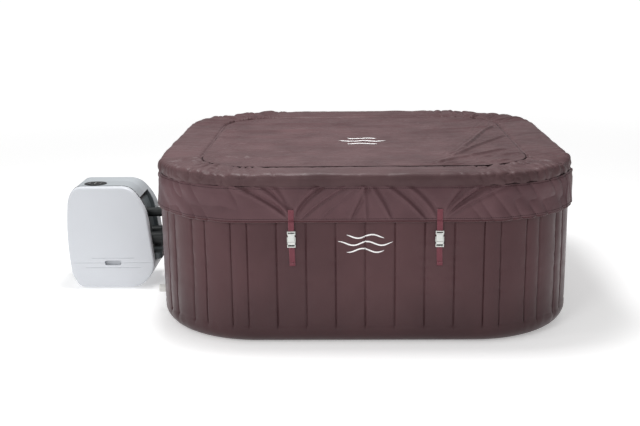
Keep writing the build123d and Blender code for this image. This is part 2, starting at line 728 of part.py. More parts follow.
with BuildPart() as display_lens:
    with BuildSketch(Plane.XY.offset(PUMP_HIGH)):
        with Locations((PANEL_AT[0], PANEL_AT[1] + 29)):
            RectangleRounded(45.4, 17.4, 2.8)
    extrude(amount=2.4)
save(display_lens, "display_lens")

KEY_NAMES = ["key_power", "key_filter", "key_heat", "key_bubbles", "key_down", "key_up"]
for name, (x, y) in zip(KEY_NAMES, key_places()):
    with BuildPart() as key:
        with BuildSketch(Plane.XY.offset(PUMP_HIGH - 1.5)):
            with Locations((x, y)):
                RectangleRounded(18.4, 13.4, 3.7)
        extrude(amount=5)
        fillet(key.faces().sort_by(Axis.Z)[-1].edges(), radius=0.8)
    save(key, name)

with BuildPart() as grip_cup:
    add(grip_block(-144, 5, 18))
    add(grip_block(-145, 2, 16), mode=Mode.SUBTRACT)
save(grip_cup, "grip_cup")

# ==== control base: water and air path ====
MOTOR_OUT = 1322
VOLUTE_OUT = 1270
VOLUTE_LENGTH = 50
with BuildPart() as pump_volute:
    add(pipe(VOLUTE_OUT, PUMP_AXIS, 55, VOLUTE_LENGTH))
    add(pipe(VOLUTE_OUT + 5, PUMP_AXIS, 46, VOLUTE_LENGTH - 10), mode=Mode.SUBTRACT)
    add(pipe(VOLUTE_OUT - 1, PUMP_AXIS, 13, 10), mode=Mode.SUBTRACT)
    add(pipe(VOLUTE_OUT + 40, PUMP_AXIS, 6, 15), mode=Mode.SUBTRACT)
save(pump_volute, "pump_volute")

VANES = 6
with BuildPart() as impeller:
    add(pipe(VOLUTE_OUT + 28, PUMP_AXIS, 38, 6))
    with BuildSketch(across(VOLUTE_OUT + 12, PUMP_AXIS)):
        with PolarLocations(24, VANES):
            Rectangle(26, 3)
        Circle(12)
    extrude(amount=17)
    add(pipe(VOLUTE_OUT + 30, PUMP_AXIS, 5, 60))
save(impeller, "impeller")

with BuildPart() as pump_motor:
    add(pipe(MOTOR_OUT, PUMP_AXIS, 42, 130))
    with BuildSketch(across(MOTOR_OUT + 12, PUMP_AXIS)):
        with PolarLocations(43, 16):
            Rectangle(7, 3)
    extrude(amount=96)
    add(pipe(MOTOR_OUT - 1, PUMP_AXIS, 6, 60), mode=Mode.SUBTRACT)
save(pump_motor, "pump_motor")

HEATER_OUT = 1240
with BuildPart() as heater_tube:
    add(pipe(HEATER_OUT, HEATER_AXIS, 32, 250))
    add(pipe(HEATER_OUT - 1, HEATER_AXIS, 12, 20), mode=Mode.SUBTRACT)
    add(pipe(HEATER_OUT + 12, HEATER_AXIS, 29, 226), mode=Mode.SUBTRACT)
save(heater_tube, "heater_tube")

PORT_START = 1162
BLOWER_OUT = 1400
suction_y, suction_z = SUCTION_PORT
return_y, return_z = RETURN_PORT
pump_y, pump_z = PUMP_AXIS
heater_y, heater_z = HEATER_AXIS
SUCTION_ROUTE = [
    (-PORT_START - 30, suction_y, suction_z),
    (-1230, suction_y, suction_z),
    (-1230, pump_y, pump_z),
    (-VOLUTE_OUT + GAP, pump_y, pump_z),
]
RETURN_ROUTE = [
    (-HEATER_OUT + GAP, heater_y, heater_z),
    (-1206, heater_y, heater_z),
    (-1222, return_y, return_z),
    (-PORT_START - 30, return_y, return_z),
]
AIR_LENGTH = BLOWER_OUT - PORT_START - 30 - 2 * GAP
with BuildPart() as inner_pipes:
    add(bent_pipe(SUCTION_ROUTE, 16, 15, 12))
    add(bent_pipe(RETURN_ROUTE, 12, 11, 9))
    add(pipe(PORT_START + 30 + GAP, AIR_PORT, 15, AIR_LENGTH, bore=12))
save(inner_pipes, "inner_pipes")

with BuildPart() as blower_housing:
    add(pipe(BLOWER_OUT, BLOWER_AXIS, 75, 80))
    add(pipe(BLOWER_OUT + 4, BLOWER_AXIS, 68, 72), mode=Mode.SUBTRACT)
    add(pipe(BLOWER_OUT - 1, AIR_PORT, 13, 10), mode=Mode.SUBTRACT)
save(blower_housing, "blower_housing")

BLADES = 12
with BuildPart() as blower_fan:
    with BuildSketch(across(BLOWER_OUT + 14, BLOWER_AXIS)):
        with PolarLocations(42, BLADES):
            Rectangle(36, 2.5)
        Circle(26)
    extrude(amount=46)
    add(pipe(BLOWER_OUT + 58, BLOWER_AXIS, 61, 4))
save(blower_fan, "blower_fan")

BOARD_HEIGHT = 520
with BuildPart() as control_board:
    with BuildSketch(Plane.XY.offset(BOARD_HEIGHT)):
        with Locations((-1440, -30)):
            Rectangle(180, 110)
    extrude(amount=1.6)
    for x, y, width, height in ((-1490, -50, 30, 20), (-1440, -10, 24, 26), (-1390, -50, 36, 14)):
        with Locations((x, y, BOARD_HEIGHT + 1)):
            Box(width, width, height, align=(Align.CENTER, Align.CENTER, Align.MIN))
save(control_board, "control_board")

# ==== control base: couplings to the tub, gland, feet and screws ====
with BuildPart() as pump_couplings:
    for port, radius in PORTS:
        length = PORT_START - UNION - GAP + 30
        add(pipe(UNION + GAP, port, radius, length))
    for port, radius in PORTS:
        add(pipe(UNION, port, radius - 20 if port != AIR_PORT else 12, 150), mode=Mode.SUBTRACT)
save(pump_couplings, "pump_couplings")

NUT_NAMES = ["suction_nut", "return_nut", "air_nut"]
NUT_GRIPS = 20
NUT_LENGTH = 44
for name, (port, radius) in zip(NUT_NAMES, PORTS):
    with BuildPart() as nut:
        with BuildSketch(across(UNION - 14, port)):
            Circle(radius + 11)
            with PolarLocations(radius + 11.5, NUT_GRIPS):
                Circle(1.8, mode=Mode.SUBTRACT)
        extrude(amount=NUT_LENGTH)
        add(pipe(UNION - 15, port, radius + 1, NUT_LENGTH + 2), mode=Mode.SUBTRACT)
        add(pipe(UNION - 9, port, radius + 6, NUT_LENGTH), mode=Mode.SUBTRACT)
    save(nut, name)

gland_back = PUMP_BACK
with BuildPart() as cable_gland:
    with BuildSketch(Plane(origin=(gland_x, 176, gland_z), x_dir=(-1, 0, 0), z_dir=(0, 1, 0))):
        Circle(8.5)
    extrude(amount=gland_back - 174)
    with BuildSketch(Plane(origin=(gland_x, gland_back + 1, gland_z), x_dir=(-1, 0, 0), z_dir=(0, 1, 0))):
        RegularPolygon(13, 6)
    extrude(amount=9)
    with BuildSketch(Plane(origin=(gland_x, 170, gland_z), x_dir=(-1, 0, 0), z_dir=(0, 1, 0))):
        Circle(5)
    extrude(amount=60, mode=Mode.SUBTRACT)
save(cable_gland, "cable_gland")

with BuildPart() as pump_feet:
    with BuildSketch(Plane.XY):
        with Locations(*FOOT_PLACES):
            Circle(18)
    extrude(amount=PUMP_LOW - GAP)
save(pump_feet, "pump_feet")

with BuildPart() as shell_screws:
    with BuildSketch(Plane.XY.offset(8)):
        with Locations(*SCREW_PLACES):
            Circle(5)
    extrude(amount=3.6)
    with BuildSketch(Plane.XY.offset(10)):
        with Locations(*SCREW_PLACES):
            Circle(2)
    extrude(amount=20)
save(shell_screws, "shell_screws")
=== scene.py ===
"""Looks of the inflatable hot tub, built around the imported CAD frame. Metres, +Z up, front towards -Y."""

import math

import bmesh
import bpy
import numpy as np
from mathutils import Matrix, Vector
from mathutils.bvhtree import BVHTree


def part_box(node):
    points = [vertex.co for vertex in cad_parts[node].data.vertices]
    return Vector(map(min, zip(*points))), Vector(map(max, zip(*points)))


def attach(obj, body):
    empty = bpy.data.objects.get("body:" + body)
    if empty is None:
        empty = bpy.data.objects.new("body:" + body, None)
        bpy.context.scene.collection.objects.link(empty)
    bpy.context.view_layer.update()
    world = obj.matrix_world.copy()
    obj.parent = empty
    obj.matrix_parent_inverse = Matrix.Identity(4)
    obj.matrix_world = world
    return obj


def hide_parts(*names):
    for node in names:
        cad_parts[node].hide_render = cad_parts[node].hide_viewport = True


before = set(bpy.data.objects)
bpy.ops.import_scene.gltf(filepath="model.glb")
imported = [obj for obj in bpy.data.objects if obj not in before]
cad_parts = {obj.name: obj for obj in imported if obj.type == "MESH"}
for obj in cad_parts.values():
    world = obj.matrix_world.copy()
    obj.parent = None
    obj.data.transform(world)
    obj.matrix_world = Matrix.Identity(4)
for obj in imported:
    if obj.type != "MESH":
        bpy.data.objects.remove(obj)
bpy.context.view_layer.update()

# ---- places read from the frame ----
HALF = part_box("bottom_rim")[1].y
WALL_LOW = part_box("outer_wall")[0].z
WALL_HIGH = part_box("outer_wall")[1].z
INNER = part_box("inner_wall")[1].y - 0.002
COVER_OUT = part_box("cover_skirt")[1].y
COVER_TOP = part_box("cover_band")[1].z
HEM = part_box("cover_skirt")[0].z
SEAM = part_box("cover_skirt")[1].z
PANEL_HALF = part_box("cover_panel")[1].y
PANEL_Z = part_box("cover_panel")[1].z
STRAP_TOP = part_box("upper_straps")[1].z
STRAP_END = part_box("upper_straps")[0].z
TAIL_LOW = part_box("lower_straps")[0].z
TAIL_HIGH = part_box("lower_straps")[1].z
STRAP_X = 0.335
STRAP_WIDTH = 0.027
STRAP_THICKNESS = 0.0018

# ---- the tub's outline and ribs, as the CAD has them ----
CORNER = 0.505
STRAIGHT = HALF - CORNER
ARC = CORNER * math.pi / 2
QUARTER = 2 * STRAIGHT + ARC
ROUND = 4 * QUARTER
WIDE_RIB = 0.135
NARROW_RIB = (QUARTER - 11 * WIDE_RIB) / 4
RIB_WIDTHS = [WIDE_RIB] * 4 + [NARROW_RIB, WIDE_RIB] * 3 + [NARROW_RIB] + [WIDE_RIB] * 4
RIB_DEPTH = 0.009
FOOT_ROUND = 0.08
SEAMS = np.concatenate([[0.0], np.cumsum(RIB_WIDTHS * 4)])

# ---- thickness of the sheets ----
VINYL = 0.0016
CLOTH = 0.002


# ==== numbers: noise and outline ====
LATTICE = np.random.default_rng(11).random((256, 256))


def noise(u, v, seed=0, wrap=256):
    """Smooth value noise from -1 to 1. It repeats along u after wrap cells."""
    u, v = np.broadcast_arrays(np.asarray(u, float), np.asarray(v, float))
    column = np.floor(u).astype(int)
    row = np.floor(v).astype(int)
    across = u - column
    along = v - row
    across = across * across * (3 - 2 * across)
    along = along * along * (3 - 2 * along)
    shift = 37 * seed

    def corner(step_u, step_v):
        first = ((column + step_u) % wrap + shift) % 256
        second = (row + step_v + 2 * shift) % 256
        return LATTICE[first, second]

    low = corner(0, 0) * (1 - across) + corner(1, 0) * across
    high = corner(0, 1) * (1 - across) + corner(1, 1) * across
    return 2 * (low * (1 - along) + high * along) - 1


def crease(u, v, seed=0, wrap=256, power=1.6):
    """Soft rounded ridges with narrow valleys between them, from 0 in a valley to 1 on a ridge."""
    return np.abs(noise(u, v, seed, wrap)) ** (1 / power)


def smooth(value, low, high):
    """Eases from 0 at low to 1 at high."""
    share = np.clip((value - low) / (high - low), 0, 1)
    return share * share * (3 - 2 * share)


def bump(value, middle, width):
    """A bell of height 1 about a middle."""
    return np.exp(-(((value - middle) / width) ** 2))


def outline(length, out):
    """Points and outward directions on the rounded square at a length round from the front's middle."""
    length = np.mod(np.asarray(length, float), ROUND)
    quarter = np.floor(length / QUARTER)
    rest = length - quarter * QUARTER
    reach = out - STRAIGHT
    angle = np.clip((rest - STRAIGHT) / CORNER, 0, math.pi / 2)
    x = np.minimum(rest, STRAIGHT) + reach * np.sin(angle)
    last = np.maximum(rest - STRAIGHT - ARC, 0)
    y = -STRAIGHT - reach * np.cos(angle) + last
    spin = quarter * math.pi / 2
    px = x * np.cos(spin) - y * np.sin(spin)
    py = x * np.sin(spin) + y * np.cos(spin)
    turn = angle + spin
    return px, py, np.sin(turn), -np.cos(turn)


def corner_share(length):
    """0 along the straight sides, rising to 1 at the middle of each corner."""
    rest = np.mod(length, QUARTER)
    middle = np.abs(rest - QUARTER / 2)
    return 1 - smooth(middle, 0.18, 0.62)


# ==== meshes ====
def grid_mesh(name, points, closed_u=False, closed_v=False):
    """A mesh from an array of points (rows, columns, 3), joined round where it is closed."""
    rows, columns = points.shape[:2]
    index = np.arange(rows * columns).reshape(rows, columns)
    if closed_u:
        index = np.vstack([index, index[:1]])
    if closed_v:
        index = np.hstack([index, index[:, :1]])
    quads = np.stack([index[:-1, :-1], index[1:, :-1], index[1:, 1:], index[:-1, 1:]], axis=-1)
    return raw_mesh(name, points.reshape(-1, 3).tolist(), quads.reshape(-1, 4).tolist())


def raw_mesh(name, points, faces):
    """A smooth-shaded mesh object from lists of points and faces."""
    data = bpy.data.meshes.new(name)
    data.from_pydata(points, [], faces)
    data.polygons.foreach_set("use_smooth", [True] * len(data.polygons))
    data.update()
    piece = bpy.data.objects.new(name, data)
    bpy.context.scene.collection.objects.link(piece)
    return piece


def join_meshes(name, parts):
    """One mesh object from several (points, faces) pairs."""
    points = []
    faces = []
    for some_points, some_faces in parts:
        start = len(points)
        points.extend(some_points)
        faces.extend([[start + i for i in face] for face in some_faces])
    return raw_mesh(name, points, faces)


def modifier(piece, kind, **settings):
    """Adds a modifier with its settings."""
    made = piece.modifiers.new(kind.title(), kind)
    for key, value in settings.items():
        setattr(made, key, value)
    return made


def thicken(piece, thickness):
    """Gives a sheet its thickness inwards, as a closed mesh."""
    return modifier(piece, "SOLIDIFY", thickness=thickness, offset=-1, use_even_offset=False)


def apply_modifiers(piece):
    """Bakes the modifiers into the mesh."""
    view = bpy.context.evaluated_depsgraph_get()
    baked = bpy.data.meshes.new_from_object(piece.evaluated_get(view))
    piece.modifiers.clear()
    piece.data = baked


def tube_grid(path, radius, sides=8, flat=1.0):
    """Points of a closed tube round a closed path of points with given up direction Z."""
    path = np.asarray(path)
    forward = np.roll(path, -1, axis=0) - np.roll(path, 1, axis=0)
    forward /= np.linalg.norm(forward, axis=1, keepdims=True)
    up = np.array([0.0, 0.0, 1.0])
    side = np.cross(forward, up)
    side /= np.linalg.norm(side, axis=1, keepdims=True)
    turn = np.linspace(0, 2 * math.pi, sides, endpoint=False)
    ring = radius * flat * np.cos(turn)[None, :, None] * side[:, None, :]
    rise = radius * np.sin(turn)[None, :, None] * up[None, None, :]
    return path[:, None, :] + ring + rise


# ==== materials ====
VINYL_GRAIN = 900
WEAVE = 420


def linear(red, green, blue):
    """Linear colour from 0-255 display values."""
    values = []
    for value in (red, green, blue):
        share = value / 255
        values.append(share / 12.92 if share <= 0.04045 else ((share + 0.055) / 1.055) ** 2.4)
    return (*values, 1.0)


class Finish:
    """A procedural material under construction."""

    def __init__(self, name, roughness, specular=0.5):
        self.material = bpy.data.materials.new(name)
        self.material.use_nodes = True
        self.tree = self.material.node_tree
        self.shader = self.tree.nodes["Principled BSDF"]
        self.set("Roughness", roughness)
        self.set("Specular IOR Level", specular)
        self.place = self.node("ShaderNodeTexCoord", {}).outputs["Object"]
        self.normal = None

    def feed(self, socket, value):
        """Links an output to a socket, or gives the socket a value."""
        if isinstance(value, bpy.types.NodeSocket):
            self.tree.links.new(value, socket)
        else:
            socket.default_value = value

    def set(self, name, value):
        """Feeds one of the shader's inputs."""
        self.feed(self.shader.inputs[name], value)

    def node(self, kind, inputs, **settings):
        """A new node with its settings, fed by name or number of its inputs."""
        made = self.tree.nodes.new(kind)
        for key, value in settings.items():
            setattr(made, key, value)
        for key, value in inputs.items():
            self.feed(made.inputs[key], value)
        return made

    def noise(self, scale, detail=4, stretch=(1, 1, 1)):
        place = self.node("ShaderNodeMapping", {"Vector": self.place, "Scale": stretch}).outputs[0]
        return self.node("ShaderNodeTexNoise", {"Vector": place, "Scale": scale, "Detail": detail}).outputs[0]

    def cells(self, scale):
        inputs = {"Vector": self.place, "Scale": scale}
        return self.node("ShaderNodeTexVoronoi", inputs, feature="DISTANCE_TO_EDGE").outputs["Distance"]

    def wave(self, scale, direction, distortion=0.0):
        inputs = {"Vector": self.place, "Scale": scale, "Distortion": distortion}
        return self.node("ShaderNodeTexWave", inputs, bands_direction=direction).outputs["Fac"]

    def maths(self, operation, first, second):
        return self.node("ShaderNodeMath", {0: first, 1: second}, operation=operation).outputs[0]

    def remap(self, value, low, high, to_low, to_high):
        """Takes a value from one range to another, and clamps it there."""
        inputs = {0: value, 1: low, 2: high, 3: to_low, 4: to_high}
        return self.node("ShaderNodeMapRange", inputs).outputs[0]

    def mix(self, share, first, second, blend="MIX"):
        """Mixes two colours, which are the mix node's inputs 6 and 7."""
        inputs = {0: share, 6: first, 7: second}
        return self.node("ShaderNodeMix", inputs, data_type="RGBA", blend_type=blend).outputs[2]

    def bump(self, height, strength, distance):
        """Adds a layer of relief over the ones before it."""
        inputs = {"Height": height, "Strength": strength, "Distance": distance}
        if self.normal is not None:
            inputs["Normal"] = self.normal
        self.normal = self.node("ShaderNodeBump", inputs).outputs["Normal"]
        self.set("Normal", self.normal)


def vinyl(name, base, dark, rough=0.36, foot=1.0):
    """Soft PVC: fine leather-like grain, faint mottling, uneven gloss, and painted shade that darkens the
    foot towards the floor.
    """
    made = Finish(name, rough, 0.24)
    mottle = made.noise(3.5, 5, (1, 1, 0.6))
    tint = made.mix(made.remap(mottle, 0.35, 0.68, 0, 1), dark, base)
    height = made.node("ShaderNodeSeparateXYZ", {0: made.place}).outputs["Z"]
    # Painted shade: the colour darkens towards the floor, down to the foot factor at the bottom.
    floor_shade = made.remap(height, 0.03, 0.30, 1.0, 0.0)
    made.set("Base Color", made.mix(floor_shade, tint, (foot, foot, foot, 1.0), "MULTIPLY"))
    made.set("Roughness", made.remap(made.noise(14, 4), 0.3, 0.7, rough - 0.05, rough + 0.09))
    made.bump(made.cells(VINYL_GRAIN), 0.12, 0.0004)
    made.bump(made.noise(38, 4, (1, 1, 0.45)), 0.10, 0.004)
    return made.material


def coated_cloth(name, base, dark, drag=0.12):
    """Coated polyester cover cloth: fine weave, faint sheen, small random creases."""
    made = Finish(name, 0.5, 0.2)
    mottle = made.noise(5.5, 6)
    tint = made.mix(made.remap(mottle, 0.32, 0.7, 0, 1), dark, base)
    weave = made.maths("MULTIPLY", made.wave(WEAVE, "X"), made.wave(WEAVE, "Y"))
    made.set("Base Color", made.mix(made.remap(weave, 0, 1, 0.0, 0.10), tint, base))
    made.set("Roughness", made.remap(made.noise(20, 3), 0.3, 0.7, 0.43, 0.58))
    made.bump(weave, 0.10, 0.0004)
    made.bump(made.noise(55, 5), 0.16, 0.003)
    made.bump(made.noise(17, 4), 0.18, 0.008)
    made.bump(made.noise(34, 3, (0.10, 1.0, 1.0)), drag, 0.012)
    return made.material


def webbing_tape(name, base, dark):
    """Woven polyester webbing: close cross ribs with a chevron of long threads."""
    made = Finish(name, 0.72, 0.25)
    ribs = made.wave(330, "Z")
    threads = made.wave(520, "X", 1.2)
    cloth = made.maths("MULTIPLY", ribs, threads)
    made.set("Base Color", made.mix(made.remap(cloth, 0, 1, 0, 0.85), dark, base))
    made.bump(ribs, 0.5, 0.0006)
    made.bump(threads, 0.25, 0.0004)
    made.set("Sheen Weight", 0.25)
    return made.material


def moulded(name, base, rough=0.35, grain=1400, strength=0.05, specular=0.5, tint=0.04):
    """Moulded plastic: spark-eroded grain, slow colour drift, slightly uneven gloss."""
    made = Finish(name, rough, specular)
    drift = made.remap(made.noise(4, 3), 0.3, 0.7, 1 - tint, 1 + tint)
    grey = made.node("ShaderNodeCombineColor", {0: drift, 1: drift, 2: drift}).outputs[0]
    made.set("Base Color", made.mix(1.0, base, grey, "MULTIPLY"))
    made.set("Roughness", made.remap(made.noise(30, 3), 0.3, 0.7, rough - 0.04, rough + 0.06))
    made.bump(made.noise(grain, 2), strength, 0.0003)
    return made.material


def metal(name, base, rough):
    """Drawn or painted metal with a fine grain."""
    made = Finish(name, rough)
    lines = made.noise(260, 4)
    worn = (*(0.7 * value for value in base[:3]), 1.0)
    made.set("Base Color", made.mix(made.remap(lines, 0.3, 0.7, 0.0, 0.5), base, worn))
    made.set("Roughness", made.remap(lines, 0.3, 0.7, rough - 0.06, rough + 0.1))
    made.bump(lines, 0.08, 0.0004)
    made.set("Metallic", 1.0)
    return made.material


# foot=0.66 paints shade on the wall's lower part, darkening it towards the floor.
WALL_VINYL = vinyl("wall_vinyl", linear(82, 54, 57), linear(73, 47, 50), foot=0.66)
LINER_VINYL = vinyl("liner_vinyl", linear(222, 214, 200), linear(208, 200, 188), rough=0.4)
LID_VINYL = vinyl("lid_vinyl", linear(196, 200, 208), linear(182, 186, 196), rough=0.42)
COVER_CLOTH = coated_cloth("cover_cloth", linear(88, 65, 67), linear(74, 53, 55), drag=0.30)
SKIRT_CLOTH = coated_cloth("skirt_cloth", linear(97, 70, 74), linear(85, 60, 64))
BINDING = webbing_tape("hem_tape", linear(98, 54, 58), linear(70, 38, 42))
STRAP_TAPE = webbing_tape("strap_tape", linear(150, 80, 90), linear(104, 52, 62))
BUCKLE = moulded("buckle_plastic", linear(212, 214, 210), 0.33)
CASING = moulded("casing_plastic", linear(201, 204, 209), 0.34, tint=0.015, specular=0.35)
CASING_TOP = moulded("casing_top_plastic", linear(158, 163, 167), 0.42, tint=0.015, specular=0.3)
CASING_REAR = moulded("casing_rear_plastic", linear(166, 171, 175), 0.42, tint=0.02, specular=0.3)
DARK = moulded("dark_plastic", linear(30, 33, 34), 0.45, 900, 0.12, 0.3)
TRAY = moulded("tray_plastic", linear(92, 99, 102), 0.42, 900, 0.10)
GLOSS = moulded("gloss_panel", linear(15, 16, 18), 0.32, 600, 0.01, 0.12)
WHITE = moulded("white_plastic", linear(226, 226, 222), 0.4)
RUBBER = moulded("rubber", linear(34, 34, 35), 0.78, 500, 0.3, 0.3)
PAPER = moulded("filter_paper", linear(232, 232, 226), 0.85, 300, 0.4, 0.2)
BOARD = moulded("circuit_board", linear(28, 84, 50), 0.5, 700, 0.2)
STEEL = metal("steel", linear(190, 190, 192), 0.3)
MOTOR = metal("motor_metal", linear(96, 102, 110), 0.45)
PRINT = moulded("print_ink", linear(244, 242, 242), 0.45, 700, 0.05)
# Near-black thread for the stitches and piping. It is darker than the cloth, so the piping also paints the
# shade of the groove and of the seam.
THREAD_AND_SHADE = moulded("thread", linear(34, 20, 22), 0.8, 900, 0.2, 0.1)

KEY_NODES = ["key_power", "key_filter", "key_heat", "key_bubbles", "key_down", "key_up"]
NUTS = ["suction_nut", "return_nut", "air_nut"]
NODE_FINISH = [
    (LINER_VINYL, ["wall_webs"]),
    (LID_VINYL, ["lid_valve_body", "lid_valve_cap"]),
    (CASING, ["pump_lower_shell", "pump_front_shell", "grip_cup"]),
    (CASING_REAR, ["pump_rear_shell"]),
    (CASING_TOP, ["pump_top_cover"]),
    (TRAY, ["pump_side_panel"]),
    (GLOSS, ["control_panel", "display_lens"] + KEY_NODES),
    (WHITE, ["filter_housing", "filter_cap", "return_grille", "drain_valve_body", "drain_cap"]),
    (WHITE, ["impeller", "inner_pipes"]),
    (PAPER, ["filter_cartridge"]),
    (RUBBER, ["drain_seal", "pump_feet"]),
    (STEEL, ["zipper_slider", "heater_tube", "shell_screws"]),
    (MOTOR, ["pump_motor"]),
    (BOARD, ["control_board"]),
    (DARK, ["wall_port_fittings", "inflation_valve_body", "inflation_valve_cap", "zipper_tape"]),
    (DARK, ["pump_volute", "blower_housing", "blower_fan", "pump_couplings", "cable_gland"] + NUTS),
]


def paint(piece, material):
    """Gives a piece one material in every slot."""
    piece.data.materials.clear()
    piece.data.materials.append(material)


def dress(piece, material, body, slot_name, *nodes):
    """Paints a piece, says which body it rides and which CAD nodes it replaces; its material slot name is not
    used.
    """
    paint(piece, material)
    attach(piece, body)
    if nodes:
        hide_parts(*nodes)
    return piece


for finish, node_names in NODE_FINISH:
    for node_name in node_names:
        paint(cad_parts[node_name], finish)


# ==== tub wall: ribs, weld lines and small puckers ====
def rib_place(length):
    """Which rib a length falls in, and how far across it, from 0 to 1."""
    length = np.mod(length, ROUND)
    rib = np.clip(np.searchsorted(SEAMS, length, side="right") - 1, 0, len(SEAMS) - 2)
    return rib, (length - SEAMS[rib]) / (SEAMS[rib + 1] - SEAMS[rib])


def wall_inset(length, height):
    """How far the ribbed skin stands in from the outline."""
    rib, share = rib_place(length)
    edge = np.abs(2 * share - 1)
    ribbed = smooth(height, FOOT_ROUND - 0.012, FOOT_ROUND + 0.022)
    pillow = RIB_DEPTH * (0.62 * edge**2.4 + 0.42 * edge**13)
    weld = 0.0016 * smooth(edge, 0.95, 1.0)
    near_seam = smooth(edge, 0.45, 0.95) * (1 - smooth(edge, 0.97, 1.0))
    pucker = 0.0016 * near_seam * noise(length * 3, height * 42, 1)
    sway = 0.0020 * noise(rib * 7.3, height * 3.1, 2)
    pull = 0.0018 * bump(height, WALL_LOW + 0.004, 0.006)
    corner = corner_share(length)
    gathers = 0.0026 * corner * bump(height, WALL_LOW - 0.012, 0.03) * noise(length * 38, height * 9, 15)
    bead = 0.0018 * bump(edge, 0.90, 0.03)
    return ribbed * (pillow + weld + pucker + sway - bead) + pull + gathers


def foot_inset(height):
    """How far the rounded foot draws in towards the floor."""
    below = np.clip(FOOT_ROUND - height, 0, FOOT_ROUND)
    return FOOT_ROUND - np.sqrt(FOOT_ROUND**2 - below**2)


def wall_point(length, height, proud=0.0):
    """A point on the ribbed wall, standing proud by a distance."""
    inset = wall_inset(length, height) + foot_inset(height) - proud
    x, y, nx, ny = outline(length, HALF)
    return np.stack([x - nx * inset, y - ny * inset, height + 0 * x], axis=-1)


def build_wall():
    """The ribbed outer skin and its rounded foot, from the underside to under the cover."""
    steps = []
    for rib in range(len(SEAMS) - 1):
        share = 0.5 - 0.5 * np.cos(np.linspace(0, math.pi, 15)[:-1])
        steps.append(SEAMS[rib] + share * (SEAMS[rib + 1] - SEAMS[rib]))
    length = np.concatenate(steps)
    turn = np.linspace(0, math.pi / 2, 12)[:-1]
    height = np.concatenate([FOOT_ROUND * (1 - np.cos(turn)), np.linspace(FOOT_ROUND, WALL_HIGH, 88)])
    height[0] = 0.0003
    points = wall_point(length[:, None], height[None, :])
    x, y, _, _ = outline(length, INNER + 0.01)
    under = np.stack([x, y, np.full_like(x, 0.0008)], axis=-1)
    points = np.concatenate([under[:, None, :], points], axis=1)
    piece = grid_mesh("ribbed_wall", points, closed_u=True)
    thicken(piece, VINYL)
    dress(piece, WALL_VINYL, "tub", "wall_vinyl", "outer_wall", "bottom_rim")


build_wall()


def swept(name, profile, proud, columns=960, thickness=VINYL):
    """A soft ring: a section of (out, height) points carried round the outline, swollen by proud."""
    profile = np.asarray(profile)
    run = np.concatenate([[0], np.cumsum(np.hypot(*np.diff(profile, axis=0).T))])
    length = np.linspace(0, ROUND, columns, endpoint=False)[:, None]
    tangent = np.gradient(profile, run, axis=0)
    tangent /= np.linalg.norm(tangent, axis=1, keepdims=True)
    swell = proud(length, run[None, :] / run[-1])
    reach = profile[None, :, 0] + swell * tangent[None, :, 1]
    height = profile[None, :, 1] - swell * tangent[None, :, 0]
    x, y, _, _ = outline(length + 0 * reach, reach)
    piece = grid_mesh(name, np.stack([x, y, height], axis=-1), closed_u=True)
    thicken(piece, thickness)
    return piece


def eased(points, passes=3):
    """A polyline with its corners cut, again and again, until it is smooth."""
    points = np.asarray(points, float)
    for _ in range(passes):
        first = 0.75 * points[:-1] + 0.25 * points[1:]
        second = 0.25 * points[:-1] + 0.75 * points[1:]
        cut = np.stack([first, second], axis=1).reshape(-1, 2)
        points = np.vstack([points[:1], cut, points[-1:]])
    return points


def liner_swell(length, share):
    """The liner bulges between the inner ends of the wall's webs."""
    across = np.mod(length / ROUND * 40, 1)
    return 0.007 * np.sin(math.pi * across) ** 0.8 * np.sin(math.pi * share) ** 0.5


def rim_swell(length, share):
    """The top rim is full and smooth, with faint pulls from the ribs."""
    _, across = rib_place(length)
    return -0.0022 * np.abs(2 * across - 1) ** 6 * (1 - smooth(share, 0.1, 0.4)) + 0 * share


RIM_LOW, RIM_HIGH = (corner.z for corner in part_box("top_rim"))
RIM_SHOULDER = 0.765
liner_profile = [(INNER, height) for height in np.linspace(RIM_LOW, 0.02, 40)]
liner = swept("inner_liner", liner_profile, liner_swell)
dress(liner, LINER_VINYL, "tub", "liner_vinyl", "inner_wall")
rim_profile = [
    (HALF, RIM_LOW),
    (HALF, RIM_SHOULDER),
    (0.95, RIM_HIGH),
    (0.79, RIM_HIGH),
    (INNER, RIM_SHOULDER),
    (INNER, RIM_LOW),
]
rim_tube = swept("rim_tube", eased(rim_profile, 4), rim_swell)
dress(rim_tube, WALL_VINYL, "tub", "wall_vinyl", "top_rim")


# ==== cover: panel, padded band, skirt, hem ====
BAND_ROUND = 0.108
STRAP_MIDDLES = [side * QUARTER + x for side in range(4) for x in (-STRAP_X, STRAP_X)]
SKIRT_JOINT = STRAIGHT + CORNER * math.radians(60)
SKIRT_GATHERS = 4 * 26
BAND_WAVES = 136
FOLD_GAIN = 1.25


def side_place(length):
    """Signed length from the middle of the nearest side."""
    return np.mod(length + QUARTER / 2, QUARTER) - QUARTER / 2


def away_from(length, middle):
    """How far a length is from another, the shorter way round."""
    return np.abs(np.mod(length - middle + ROUND / 2, ROUND) - ROUND / 2)


def fold(x, share, foot, top, width, bow):
    """One fold line of the skirt: it runs from foot at the hem to top at the seam."""
    middle = foot + (top - foot) * share + bow * share * (1 - share) * 4
    offset = (x - middle) / (width * (0.55 + 0.75 * share))
    ridge = np.exp(-(offset**2)) - 0.75 * np.exp(-((offset - 1.35) ** 2))
    return ridge * smooth(share, 0.0, 0.18) * (1 - 0.7 * smooth(share, 0.93, 1.0))


